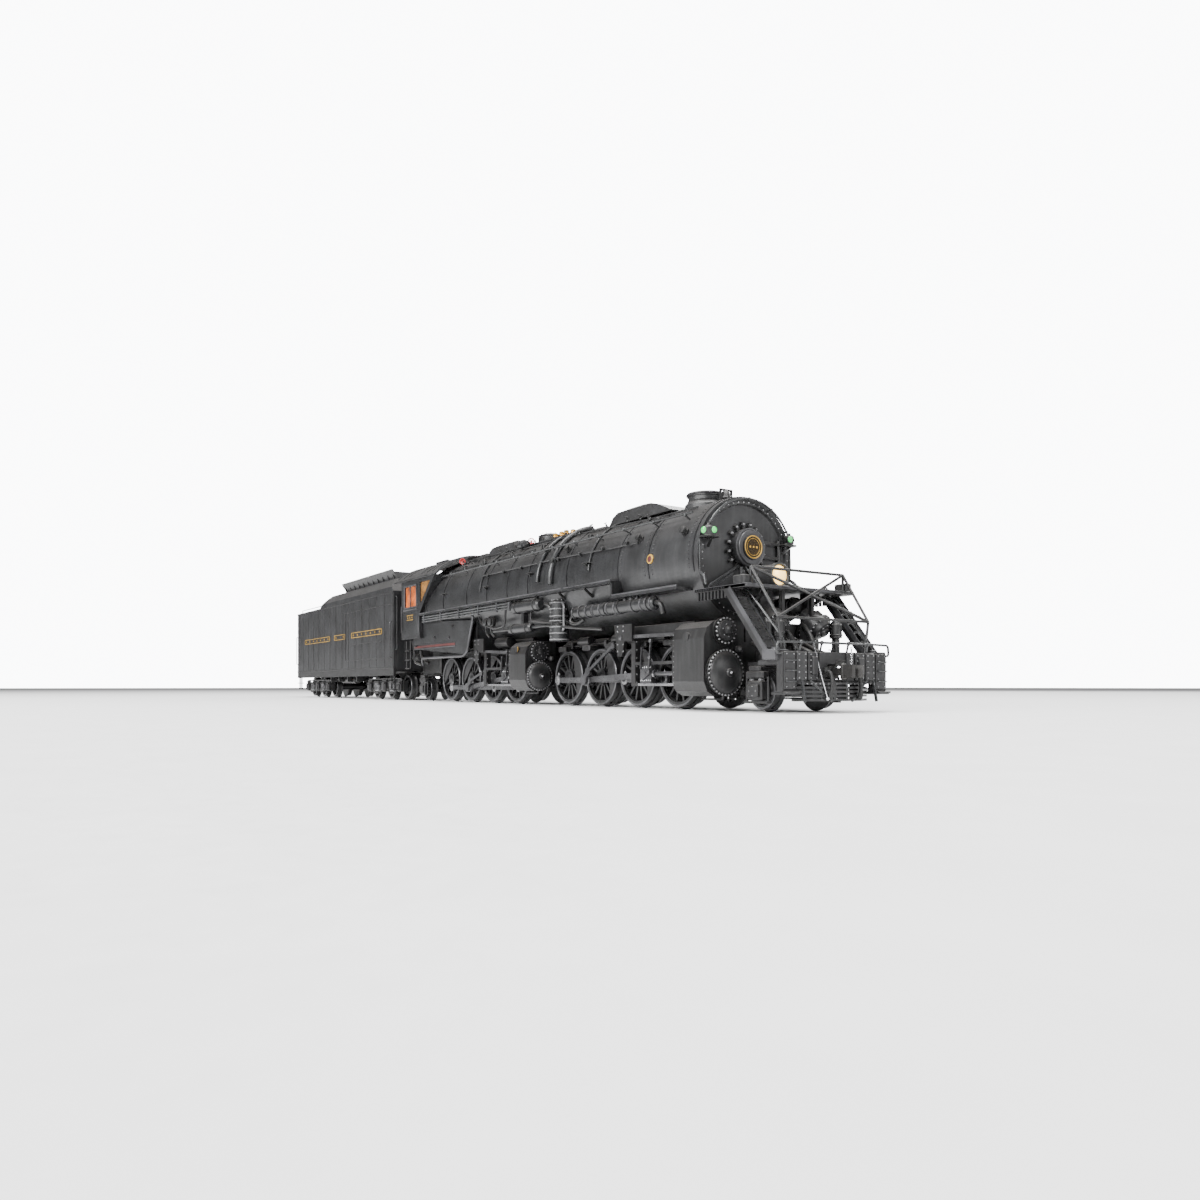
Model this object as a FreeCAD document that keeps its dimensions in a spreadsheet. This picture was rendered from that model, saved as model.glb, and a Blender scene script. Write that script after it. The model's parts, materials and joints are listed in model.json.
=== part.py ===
"""Articulated 2-8-8-2 steam locomotive and tender, O scale model (1:48).

Frame of the part: +X points to the front of the locomotive, +Y to its left side and +Z up.
The wheel flanges stand on z = 0. All sizes are millimetres.
"""
import FreeCAD, Part
import math
import os
import re
import Sketcher

# ---------------------------------------------------------------- driving dimensions

DIMENSIONS = {
    # whole object
    "half_length": 365.0,
    "fit_gap": 0.06,            # running clearance round an axle or a pin
    "clearance": 0.4,           # clearance between pieces that move past each other
    # wheels
    "wheel_back": 14.0,         # centre line to the back of a wheel
    "wheel_front": 18.6,        # centre line to the face of a wheel
    "flange_depth": 1.1,
    "flange_width": 1.4,
    "axle_radius": 2.0,
    "driver_radius": 15.1,
    "driver_spacing": 33.33,
    "driver_rim": 2.2,
    "driver_hub": 4.4,
    "driver_web": 3.3,
    "spoke_count": 14,
    "spoke_half_width": 0.62,
    "counterweight_start": 6.4,
    "guide_wheel_radius": 7.95,
    "tender_wheel_radius": 9.53,
    "small_hub": 3.6,
    "small_rim": 1.9,
    "journal_radius": 1.2,
    "journal_end": 22.4,
    # where the wheels stand
    "front_driver_x": 272.0,
    "rear_driver_x": 109.5,
    "lead_axle_x": 329.0,
    "trailing_axle_x": -34.0,
    "tender_front_truck_x": -111.0,
    "tender_rear_truck_x": -303.0,
    "tender_axle_spacing": 35.0,
    # cranks and rods
    "crank_throw": 8.47,
    "crank_pin_radius": 1.3,
    "front_crank_angle": 192.0,
    "rear_crank_angle": 315.0,
    "quarter_turn": 90.0,
    "side_rod_back": 19.2,
    "side_rod_front": 20.9,
    "main_rod_back": 21.2,
    "main_rod_front": 22.9,
    "valve_rod_back": 23.9,
    "valve_rod_front": 25.0,
    "rod_half_height": 1.5,
    "rod_eye": 2.9,
    "main_rod_length": 60.0,
    "small_eye": 2.3,
    "front_valve_rod_rise": 13.0,
    "rear_valve_rod_rise": 5.0,
    "front_valve_rod_run": 24.0,
    "rear_valve_rod_run": 18.0,
    "return_crank_run": 4.5,
    # cylinders, crossheads and guides
    "cylinder_axis_y": 25.2,
    "cylinder_axis_z": 17.0,
    "low_pressure_radius": 10.4,
    "low_pressure_outer": 35.6,
    "low_pressure_top": 40.0,
    "low_pressure_back": 289.0,
    "low_pressure_front": 311.0,
    "low_pressure_valve_z": 35.3,
    "low_pressure_valve_radius": 6.1,
    "high_pressure_radius": 8.7,
    "high_pressure_outer": 33.4,
    "high_pressure_top": 38.0,
    "high_pressure_back": 126.6,
    "high_pressure_front": 147.5,
    "high_pressure_valve_z": 31.4,
    "high_pressure_valve_radius": 6.2,
    "cylinder_head": 2.6,
    "gland_length": 2.4,
    "emblem_radius": 1.9,
    "emblem_rise": 0.3,
    "emblem_setback": 10.0,
    "emblem_z": 33.0,
    "gland_radius": 3.0,
    "piston_rod_radius": 1.2,
    "piston_rod_length": 34.3,
    "piston_rod_gap": 0.1,
    "crosshead_half_length": 4.6,
    "crosshead_back": 23.6,
    "crosshead_front": 26.8,
    "crosshead_half_height": 4.3,
    "guide_thickness": 1.5,
    "yoke_thickness": 3.4,
    "yoke_top": 36.0,
    "yoke_bridge": 2.6,
    "front_yoke_x": 245.0,
    "rear_yoke_x": 79.5,
    "link_front": 29.0,
    "link_back": 27.2,
    # frames
    "frame_half_width": 12.4,
    "frame_inner": 9.0,
    "frame_bottom": 10.6,
    "frame_top": 30.5,
    "front_frame_back": 152.0,
    "front_frame_end": 311.0,
    "rear_frame_front": 147.5,
    "rear_frame_back": -58.0,
    "rear_frame_underside": 18.8,
    "hinge_x": 136.0,
    "hinge_pin_radius": 3.0,
    "tongue_back": 130.0,
    "tongue_half_width": 5.0,
    "tongue_bottom": 14.0,
    "tongue_top": 20.0,
    "fork_thickness": 2.6,
    "fork_back": 122.0,
    "saddle_top": 39.9,
    # guiding trucks
    "truck_block_half": 7.0,
    "truck_block_width": 11.0,
    "truck_block_rise": 2.6,
    "truck_tongue_half": 3.0,
    "truck_tongue_bottom": 7.0,
    "truck_tongue_top": 9.2,
    "truck_pin_radius": 1.5,
    "truck_pin_bottom": 5.6,
    "lead_pivot_x": 300.0,
    "trailing_pivot_x": -13.0,
    # boiler
    "boiler_axis_z": 69.7,
    "boiler_radius": 31.4,
    "smokebox_radius": 29.2,
    "shell_wall": 1.6,
    "boiler_back": -12.0,
    "taper_back": 190.0,
    "smokebox_back": 236.0,
    "smokebox_front": 297.0,
    "front_ring": 2.0,
    "front_plate_step": 1.2,
    "door_radius": 9.0,
    "door_axis_z": 75.0,
    "door_depth": 5.2,
    "plate_radius": 5.7,
    "plate_depth": 1.0,
    # on top of the boiler
    "stack_x": 270.5,
    "stack_radius": 8.6,
    "stack_flare": 10.4,
    "stack_bore": 6.0,
    "stack_top": 105.2,
    "stack_rim": 1.6,
    "front_dome_back": 205.0,
    "front_dome_front": 258.0,
    "front_dome_top": 107.0,
    "front_dome_nose": 100.4,
    "front_dome_crest": 228.0,
    "steam_dome_x": 120.5,
    "steam_dome_radius": 8.2,
    "steam_dome_top": 107.0,
    "rear_dome_back": 53.0,
    "rear_dome_front": 89.0,
    "rear_dome_top": 108.6,
    "dome_half_width": 11.0,
    "dome_chamfer": 3.0,
    "turret_back": 18.0,
    "turret_front": 40.0,
    "turret_top": 105.0,
    "turret_half_width": 9.0,
    "valve_x": 131.5,
    "valve_pitch": 7.5,
    "valve_pair_y": 3.4,
    "valve_radius": 1.9,
    "valve_top": 106.6,
    "bell_x": 285.0,
    "bell_radius": 2.6,
    "bell_top": 104.4,
    # firebox and ash pan
    "firebox_back": -10.0,
    "firebox_front": 70.0,
    "firebox_half_width": 27.0,
    "firebox_bottom": 36.5,
    "firebox_wall": 1.5,
    "pan_back": -32.0,
    "pan_front": 73.0,
    "pan_face": 31.2,
    "pan_top": 58.5,
    "pan_bottom": 32.6,
    "pan_rear_bottom": 39.0,
    "pan_throat": 64.0,
    # cab
    "cab_back": -49.0,
    "cab_front": -12.5,
    "cab_peak_x": 15.0,
    "cab_half_width": 34.0,
    "cab_wall": 1.5,
    "cab_bottom": 46.5,
    "cab_shelf": 65.0,
    "eave": 91.0,
    "window_back": -42.0,
    "window_front": -19.0,
    "window_bottom": 70.5,
    "window_top": 86.0,
    "quarter_window_back": -12.0,
    "quarter_window_top": 87.5,
    "roof_back": -63.5,
    "roof_front": 17.0,
    "roof_top": 105.8,
    "roof_radius": 47.8,
    "roof_half_width": 34.8,
    "roof_wall": 1.4,
    "cab_floor_top": 50.0,
    "floor_thickness": 2.0,
    "backhead_thickness": 2.5,
    # walkways
    "walkway_back": -12.4,
    "walkway_front": 238.0,
    "walkway_top": 63.8,
    "walkway_edge": 34.0,
    "walkway_rim": 0.8,
    "walkway_thickness": 1.2,
    "rim_height": 1.9,
    "walkway_inner": 20.0,
    "low_walkway_front": 291.0,
    "low_walkway_top": 56.0,
    # side equipment
    "heater_x": 199.0,
    "heater_length": 72.0,
    "heater_radius": 3.1,
    "heater_y": 31.2,
    "heater_z": 50.4,
    "hanger_width": 2.0,
    "hanger_inner": 24.0,
    "compressor_x": 179.0,
    "compressor_y": 29.0,
    "compressor_radius": 5.4,
    "compressor_bottom": 36.0,
    "compressor_top": 59.0,
    "compressor_waist": 3.6,
    "tank_back": 130.0,
    "tank_front": 162.0,
    "tank_radius": 3.4,
    "tank_y": 31.0,
    "tank_z": 58.0,
    "reverser_back": 123.0,
    "reverser_front": 150.0,
    "reverser_radius": 2.8,
    "reverser_y": 30.0,
    "reverser_z": 45.5,
    # drive
    "motor_back": 20.0,
    "motor_front": 74.0,
    "motor_radius": 13.0,
    "motor_foot_half": 7.0,
    "motor_foot_bottom": 41.4,
    "smoke_unit_half": 9.0,
    "smoke_unit_bottom": 52.0,
    "smoke_unit_top": 78.0,
    "smoke_tube_radius": 4.0,
    # pilot and front end
    "deck_back": 316.0,
    "deck_front": 350.0,
    "deck_half_width": 30.5,
    "deck_wide_back": 339.0,
    "deck_tongue_half": 14.5,
    "deck_top": 21.5,
    "deck_thickness": 1.8,
    "beam_thickness": 3.0,
    "beam_bottom": 12.0,
    "beam_top": 25.2,
    "slat_count": 5,
    "slat_pitch": 1.7,
    "slat_width": 1.3,
    "slat_thickness": 0.9,
    "slat_bottom": 4.9,
    "slat_reach": 6.0,
    "slat_half_span": 22.0,
    "end_step_outer": 31.0,
    "end_step_inner": 23.4,
    "end_step_bottom": 8.6,
    "bracket_top": 27.0,
    "bracket_half": 5.0,
    "platform_back": 301.6,
    "platform_front": 334.0,
    "platform_half_width": 33.0,
    "platform_top": 53.4,
    "platform_thickness": 1.4,
    "post_y": 12.0,
    "post_half": 1.2,
    "stair_outer": 33.0,
    "stair_inner": 26.0,
    "stair_top_x": 323.6,
    "stair_bottom_x": 348.6,
    "stringer_depth": 3.4,
    "stringer_width": 0.9,
    "tread_count": 6,
    "tread_depth": 4.4,
    "tread_thickness": 0.8,
    "rail_radius": 0.6,
    "rail_y": 28.0,
    "low_rail_share": 0.97,
    "low_post_share": 0.87,
    "post_lean": 0.2,
    "low_rail_x": 347.0,
    "low_rail_top": 39.0,
    "high_rail_x": 332.0,
    "high_rail_top": 61.0,
    "headlight_back": 309.0,
    "headlight_front": 321.0,
    "headlight_radius": 5.6,
    "headlight_z": 60.4,
    "headlight_bowl": 4.7,
    "headlight_bowl_depth": 3.0,
    "headlight_foot": 3.0,
    # couplers and drawbar
    "coupler_z": 17.0,
    "coupler_half_height": 2.6,
    "coupler_pin_x": 345.5,
    "shank_half_width": 1.6,
    "jaw_length": 7.0,
    "jaw_half_width": 4.2,
    "jaw_slot": 2.4,
    "coupler_pocket_half": 9.0,
    "drawbar_pin_x": -52.0,
    "tender_pin_x": -78.0,
    "drawbar_z": 14.4,
    "drawbar_thickness": 2.0,
    "drawbar_half_width": 3.4,
    "drawbar_pin_radius": 1.5,
    "drawbar_pin_bottom": 12.6,
    # tender
    "tender_front": -69.0,
    "tender_back": -350.0,
    "tender_half_width": 33.0,
    "sill_bottom": 19.6,
    "sill_thickness": 2.0,
    "tender_floor_bottom": 23.4,
    "tender_floor_top": 25.4,
    "tank_side_top": 86.6,
    "tank_wall": 1.8,
    "shoulder_y": 30.0,
    "shoulder_z": 94.0,
    "crown_y": 19.0,
    "crown_z": 99.5,
    "deck_step_x": -269.0,
    "arch_x": -243.0,
    "slope_x": -90.0,
    "bunker_back": -218.0,
    "bunker_front": -98.0,
    "bunker_half_width": 21.0,
    "bunker_floor": 88.0,
    "board_top": 106.6,
    "board_flare": 4.0,
    "board_thickness": 1.0,
    "coal_top": 108.0,
    "coal_dip": 103.0,
    "board_half_width": 20.0,
    "control_board_back": -200.0,
    "control_board_front": -130.0,
    "control_board_z": 32.0,
    "control_board_thickness": 1.6,
    "standoff_half": 2.0,
    "speaker_x": -250.0,
    "speaker_radius": 19.0,
    "speaker_height": 12.0,
    "center_plate_radius": 7.0,
    "bolster_half_length": 17.5,
    "bolster_half_width": 9.0,
    "bolster_bottom": 13.6,
    "bolster_top": 21.0,
    "cross_bar_half": 1.8,
    "cross_bar_bottom": 8.0,
    "side_frame_back": 20.2,
    "side_frame_front": 24.2,
    "side_frame_bottom": 6.4,
    "side_frame_top": 15.6,
    "side_frame_overhang": 6.0,
    "side_frame_dip": 9.6,
    # hole for the peg of a display stand
    "peg_hole_x": -4.5,
    "peg_hole_radius": 1.6,
    "peg_hole_depth": 8.0,
}

doc = FreeCAD.newDocument("articulated_locomotive")
sheet = doc.addObject("Spreadsheet::Sheet", "dims")
for row, (alias, value) in enumerate(DIMENSIONS.items(), start=1):
    sheet.set("A%d" % row, alias)
    sheet.set("B%d" % row, str(value))
    sheet.setAlias("B%d" % row, alias)
doc.recompute()

SIDES = {"right": -1, "left": 1}
PLANE_NORMAL = {"XZ_Plane": "y", "XY_Plane": "z", "YZ_Plane": "x"}
TURNED_ROTATION = {
    "x": FreeCAD.Rotation(FreeCAD.Vector(0, 1, 0), 90),
    "y": FreeCAD.Rotation(FreeCAD.Vector(1, 0, 0), -90),
    "z": FreeCAD.Rotation(),
}
sub_parts = {}


# ---------------------------------------------------------------- modelling helpers

def bound(text):
    """An expression on the sheet, from one written with bare aliases."""
    def qualify(match):
        word = match.group()
        return "dims." + word if word in DIMENSIONS else word
    return re.sub("[a-z_]+", qualify, str(text))


def bind(feature, **expressions):
    """Bind properties of a feature to expressions on the sheet."""
    for name, text in expressions.items():
        feature.setExpression(name, bound(text))


def move(feature, **place):
    """Bind coordinates of a feature's placement."""
    for axis, text in place.items():
        feature.setExpression(".Placement.Base." + axis, bound(text))


def sub_part(label, feature):
    """Register a finished feature as the sub-part with this label."""
    feature.Label = label
    sub_parts[label] = feature
    return feature


def box(name, x, y, z):
    """A box between pairs of coordinates."""
    feature = doc.addObject("Part::Box", name)
    for length, axis, (low, high) in zip(("Length", "Width", "Height"), "xyz", (x, y, z)):
        feature.setExpression(length, bound("(%s) - (%s)" % (high, low)))
        move(feature, **{axis: low})
    return feature


def cylinder(name, axis, radius, span, **centre):
    """A cylinder along one axis, between a pair of coordinates."""
    feature = doc.addObject("Part::Cylinder", name)
    feature.Placement.Rotation = TURNED_ROTATION[axis]
    low, high = span
    bind(feature, Radius=radius, Height="(%s) - (%s)" % (high, low))
    move(feature, **{axis: low}, **centre)
    return feature


def closed_sketch(body, role, points):
    """A closed outline on one of the body's own planes, each corner bound to the sheet."""
    plane = [item for item in body.Origin.OriginFeatures if item.Role == role][0]
    sketch = body.newObject("Sketcher::SketchObject", body.Name + "_outline")
    sketch.AttachmentSupport = [(plane, "")]
    sketch.MapMode = "FlatFace"
    count = len(points)
    ring = [FreeCAD.Vector(math.cos(2 * math.pi * i / count), math.sin(2 * math.pi * i / count), 0)
            for i in range(count)]
    sketch.addGeometry([Part.LineSegment(ring[i - 1], ring[i]) for i in range(count)], False)
    joints = [Sketcher.Constraint("Coincident", i - 1, 2, i, 1) for i in range(1, count)]
    joints.append(Sketcher.Constraint("Coincident", count - 1, 2, 0, 1))
    for i in range(count):
        joints.append(Sketcher.Constraint("DistanceX", -1, 1, i, 2, ring[i].x))
        joints.append(Sketcher.Constraint("DistanceY", -1, 1, i, 2, ring[i].y))
    sketch.addConstraint(joints)
    for i, (across, along) in enumerate(points):
        sketch.setExpression("Constraints[%d]" % (count + 2 * i), bound(across))
        sketch.setExpression("Constraints[%d]" % (count + 2 * i + 1), bound(along))
    return sketch


def plate(name, role, points, span):
    """An outline padded between two coordinates along its plane's normal."""
    body = doc.addObject("PartDesign::Body", name)
    pad = body.newObject("PartDesign::Pad", name + "_pad")
    pad.Profile = closed_sketch(body, role, points)
    low, high = span
    bind(pad, Length="(%s) - (%s)" % (high, low))
    axis = PLANE_NORMAL[role]
    move(body, **{axis: high if axis == "y" else low})
    body.Tip = pad
    return body


def turned(name, axis, points, **centre):
    """A profile of (distance along the axis, radius) corners, turned about the axis."""
    body = doc.addObject("PartDesign::Body", name)
    if axis == "x":
        role, reference, corners = "XY_Plane", "H_Axis", points
    else:
        role = "XY_Plane" if axis == "y" else "XZ_Plane"
        reference, corners = "V_Axis", [(radius, along) for along, radius in points]
    sketch = closed_sketch(body, role, corners)
    revolution = body.newObject("PartDesign::Revolution", name + "_turn")
    revolution.Profile = sketch
    revolution.ReferenceAxis = (sketch, [reference])
    revolution.Angle = 360
    move(body, **centre)
    body.Tip = revolution
    return body


def fuse(name, pieces):
    """Several features as one solid."""
    feature = doc.addObject("Part::MultiFuse", name)
    feature.Shapes = pieces
    return feature


def group(name, pieces):
    """Several separate solids in one sub-part."""
    feature = doc.addObject("Part::Compound", name)
    feature.Links = pieces
    return feature


def cut(name, base, tools):
    """A feature with tools taken out of it."""
    feature = doc.addObject("Part::Cut", name)
    feature.Base = base
    feature.Tool = tools[0] if len(tools) == 1 else fuse(name + "_tools", tools)
    return feature


def common(name, pieces):
    """The volume that two features share."""
    feature = doc.addObject("Part::Common", name)
    feature.Base, feature.Tool = pieces
    return feature


def mirrored(feature):
    """The same feature on the other side of the centre line."""
    copy = doc.addObject("Part::Mirroring", feature.Name + "_left")
    copy.Source = feature
    copy.Base = FreeCAD.Vector(0, 0, 0)
    copy.Normal = FreeCAD.Vector(0, 1, 0)
    return copy


def both_sides(feature):
    """The feature and its mirror image, as two separate solids."""
    return group(feature.Name + "_pair", [feature, mirrored(feature)])


def strut(name, radius, start, end):
    """A round bar between two points, read from the sheet."""
    feature = doc.addObject("Part::Feature", name)
    first = FreeCAD.Vector(*start)
    reach = FreeCAD.Vector(*end) - first
    feature.Shape = Part.makeCylinder(radius, reach.Length, first, reach)
    return feature


def size(alias):
    """One plain number from the sheet."""
    return float(sheet.get(alias))


def placed_copy(name, source, rotation, **place):
    """Another instance of a feature, turned and moved."""
    link = doc.addObject("App::Link", name)
    link.LinkedObject = source
    link.Placement = FreeCAD.Placement(FreeCAD.Vector(), rotation)
    move(link, **place)
    return link


# ---------------------------------------------------------------- wheels

def driving_wheel(name, pin_end):
    """A spoked wheel with its crank pin, back face on y = 0, pin along +X."""
    width = "wheel_front - wheel_back"
    rim = "driver_radius - driver_rim"
    disc = turned(name + "_disc", "y", [
        ("0", "0"),
        ("0", "driver_radius + flange_depth"),
        ("-flange_width", "driver_radius + flange_depth * 0.5"),
        ("-flange_width", "driver_radius"),
        ("-(%s)" % width, "driver_radius"),
        ("-(%s)" % width, rim),
        ("-driver_web", rim),
        ("-driver_web", "driver_hub"),
        ("-(%s)" % width, "driver_hub"),
        ("-(%s)" % width, "0"),
    ])
    half = "tan(180 / spoke_count)"
    inner = "driver_hub + 0.3"
    outer = rim + " - 0.4"
    window = closed_sketch(disc, "XZ_Plane", [
        (inner, "(%s) * %s - spoke_half_width" % (inner, half)),
        (outer, "(%s) * %s - spoke_half_width" % (outer, half)),
        (outer, "spoke_half_width - (%s) * %s" % (outer, half)),
        (inner, "spoke_half_width - (%s) * %s" % (inner, half)),
    ])
    doc.recompute()
    pocket = disc.newObject("PartDesign::Pocket", name + "_window")
    pocket.Profile = window
    pocket.Midplane = True
    bind(pocket, Length="2 * (%s) + flange_width" % width)
    doc.recompute()
    spokes = disc.newObject("PartDesign::PolarPattern", name + "_windows")
    spokes.Originals = [pocket]
    spokes.Axis = (window, ["N_Axis"])
    spokes.Angle = 360
    bind(spokes, Occurrences="spoke_count")
    disc.Tip = spokes
    rim_disc = cylinder(name + "_rim_disc", "y", rim, ("0.4 - (%s)" % width, "0"))
    segment = box(name + "_segment", ("-driver_radius", "-counterweight_start"),
                  ("-driver_radius", "driver_radius"), ("-driver_radius", "driver_radius"))
    weight = common(name + "_weight", [rim_disc, segment])
    boss = cylinder(name + "_boss", "y", "rod_eye", ("-(%s)" % width, "0"), x="crank_throw")
    pin = cylinder(name + "_pin", "y", "crank_pin_radius",
                   ("wheel_back - (%s)" % pin_end, "0"), x="crank_throw")
    return fuse(name, [disc, weight, boss, pin])


def disc_wheel(name, radius):
    """A plain wheel with a dished face, back face on y = 0."""
    width = "wheel_front - wheel_back"
    rim = "%s - small_rim" % radius
    return turned(name, "y", [
        ("0", "0"),
        ("0", "%s + flange_depth" % radius),
        ("-flange_width", "%s + flange_depth * 0.5" % radius),
        ("-flange_width", radius),
        ("-(%s)" % width, radius),
        ("-(%s)" % width, rim),
        ("-(%s) * 0.55" % width, rim + " - 0.6"),
        ("-(%s) * 0.75" % width, "small_hub"),
        ("-(%s)" % width, "small_hub - 0.6"),
        ("-(%s)" % width, "0"),
    ])


def wheel_pair(label, wheel, radius, x, right_angle=0.0, left_angle=0.0, journals=False):
    """An axle with a wheel on each end, standing on the rail at x."""
    z = "%s + flange_depth" % radius
    about_axle = FreeCAD.Vector(0, 1, 0)
    facing_left = FreeCAD.Rotation(FreeCAD.Vector(1, 0, 0), 180)
    right_turn = FreeCAD.Rotation(about_axle, -right_angle)
    left_turn = FreeCAD.Rotation(about_axle, -left_angle).multiply(facing_left)
    pieces = [
        cylinder(label + "_axle", "y", "axle_radius", ("-wheel_back", "wheel_back"), x=x, z=z),
        placed_copy(label + "_right", wheel, right_turn, x=x, y="-wheel_back", z=z),
        placed_copy(label + "_left", wheel, left_turn, x=x, y="wheel_back", z=z),
    ]
    if journals:
        journal = cylinder(label + "_journal", "y", "journal_radius",
                           ("-journal_end", "-wheel_front"), x=x, z=z)
        pieces += [journal, mirrored(journal)]
    return sub_part(label, group(label, pieces))


coupled_wheel = driving_wheel("coupled_wheel", "side_rod_front + 0.5")
main_wheel = driving_wheel("main_wheel", "main_rod_front + 0.3")
guide_wheel = disc_wheel("guide_wheel", "guide_wheel_radius")
tender_wheel = disc_wheel("tender_wheel", "tender_wheel_radius")

MAIN_AXLE = 3
ENGINES = {
    "front": ("front_driver_x", "front_crank_angle"),
    "rear": ("rear_driver_x", "rear_crank_angle"),
}
for engine, (first_x, angle_alias) in ENGINES.items():
    angle = size(angle_alias)
    for axle in range(1, 5):
        wheel_pair("%s_driver_axle_%d" % (engine, axle),
                   main_wheel if axle == MAIN_AXLE else coupled_wheel,
                   "driver_radius", "%s - driver_spacing * %d" % (first_x, axle - 1),
                   angle, angle + size("quarter_turn"))

wheel_pair("lead_truck_axle", guide_wheel, "guide_wheel_radius", "lead_axle_x")
wheel_pair("trailing_truck_axle", guide_wheel, "guide_wheel_radius", "trailing_axle_x")
for truck in ("front", "rear"):
    for axle in range(3):
        wheel_pair("tender_%s_axle_%d" % (truck, axle + 1), tender_wheel, "tender_wheel_radius",
                   "tender_%s_truck_x + tender_axle_spacing * %d" % (truck, 1 - axle), journals=True)


# ---------------------------------------------------------------- rods and crossheads

def bar_between(name, start, end, half_height, radii, span):
    """A flat bar with a round eye at each end, from one pin to the other."""
    run = end[0] - start[0]
    rise = end[1] - start[1]
    length = math.hypot(run, rise)
    slope = FreeCAD.Rotation(FreeCAD.Vector(0, 1, 0), -math.degrees(math.atan2(rise, run)))
    shank = box(name + "_shank", ("0", str(length)), span, ("-(%s)" % half_height, half_height))
    first = cylinder(name + "_eye", "y", radii[0], span)
    second = cylinder(name + "_far_eye", "y", radii[1], span, x=str(length))
    bar = fuse(name, [shank, first, second])
    bar.Placement = FreeCAD.Placement(FreeCAD.Vector(start[0], 0, start[1]), slope)
    return bar


def outward(side, back, front):
    """The span between two distances from the centre line, on one side."""
    return (back, front) if side > 0 else ("-(%s)" % front, "-(%s)" % back)


def crank_pin(engine, side, axle):
    """Where the crank pin of an axle stands, as (x, z)."""
    first_x, angle_alias = ENGINES[engine]
    angle = size(angle_alias) + (size("quarter_turn") if side > 0 else 0)
    x = size(first_x) - size("driver_spacing") * (axle - 1)
    z = size("driver_radius") + size("flange_depth")
    throw = size("crank_throw")
    return (x + throw * math.cos(math.radians(angle)), z + throw * math.sin(math.radians(angle)))


def wrist(engine, side):
    """Where the main rod meets the crosshead, as (x, z)."""
    pin_x, pin_z = crank_pin(engine, side, MAIN_AXLE)
    drop = size("cylinder_axis_z") - pin_z
    return (pin_x + math.sqrt(size("main_rod_length") ** 2 - drop ** 2), size("cylinder_axis_z"))


def rods(engine, side_name, side):
    """Side rod, main rod and valve rod of one side of an engine."""
    name = "%s_%s" % (engine, side_name)
    pins = [crank_pin(engine, side, axle) for axle in range(1, 5)]
    side_span = outward(side, "side_rod_back", "side_rod_front")
    main_span = outward(side, "main_rod_back", "main_rod_front")
    valve_span = outward(side, "valve_rod_back", "valve_rod_front")
    main_pin = pins[MAIN_AXLE - 1]
    side_rod = bar_between(name + "_side_rod", pins[3], pins[0],
                           "rod_half_height", ("rod_eye", "rod_eye"), side_span)
    middle_eyes = [cylinder("%s_middle_eye_%d" % (name, i), "y", "rod_eye", side_span,
                            x=str(pins[i][0]), z=str(pins[i][1])) for i in (1, 2)]
    main_rod = bar_between(name + "_main_rod", main_pin, wrist(engine, side),
                           "rod_half_height", ("rod_eye", "small_eye"), main_span)
    hub_span = outward(side, "side_rod_front", "valve_rod_back")
    hub = cylinder(name + "_hub", "y", "rod_eye", hub_span, x=str(main_pin[0]), z=str(main_pin[1]))
    crank_end = (main_pin[0] + size("return_crank_run"), main_pin[1] + size("return_crank_run"))
    return_crank = bar_between(name + "_return_crank", main_pin, crank_end,
                               "rod_half_height", ("rod_eye", "small_eye"), valve_span)
    rod_end = (crank_end[0] + size(engine + "_valve_rod_run"), crank_end[1] + size(engine + "_valve_rod_rise"))
    valve_rod = bar_between(name + "_valve_rod", crank_end, rod_end,
                            "rod_half_height * 0.55", ("small_eye * 0.7", "small_eye * 0.7"),
                            valve_span)
    solid = fuse(name + "_rods_solid",
                 [side_rod, main_rod, hub, return_crank, valve_rod] + middle_eyes)
    pin_span = outward(side, "wheel_front", "side_rod_front + 0.8")
    bores = [cylinder("%s_bore_%d" % (name, i), "y", "crank_pin_radius + fit_gap", pin_span,
                      x=str(x), z=str(z)) for i, (x, z) in enumerate(pins)]
    main_bore_span = outward(side, "wheel_front", "main_rod_front + 0.5")
    bores.append(cylinder(name + "_main_bore", "y", "crank_pin_radius + fit_gap", main_bore_span,
                          x=str(main_pin[0]), z=str(main_pin[1])))
    sub_part("%s_rods_%s" % (engine, side_name), cut(name + "_rods", solid, bores))


def crosshead(engine, side_name, side):
    """A crosshead between its guides, with the piston rod that it drives."""
    name = "%s_%s_crosshead" % (engine, side_name)
    wrist_x = "%.4f" % wrist(engine, side)[0]
    y_axis = "%d * cylinder_axis_y" % side
    shoe = box(name + "_shoe", (wrist_x + " - crosshead_half_length", wrist_x + " + crosshead_half_length"),
               outward(side, "crosshead_back", "crosshead_front"),
               ("cylinder_axis_z - crosshead_half_height", "cylinder_axis_z + crosshead_half_height"))
    rod = cylinder(name + "_rod", "x", "piston_rod_radius", (wrist_x, wrist_x + " + piston_rod_length"),
                   y=y_axis, z="cylinder_axis_z")
    sub_part("%s_crosshead_%s" % (engine, side_name), fuse(name, [shoe, rod]))


for engine in ENGINES:
    for side_name, side in SIDES.items():
        rods(engine, side_name, side)
        crosshead(engine, side_name, side)


# ---------------------------------------------------------------- cylinders and motion brackets

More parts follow.
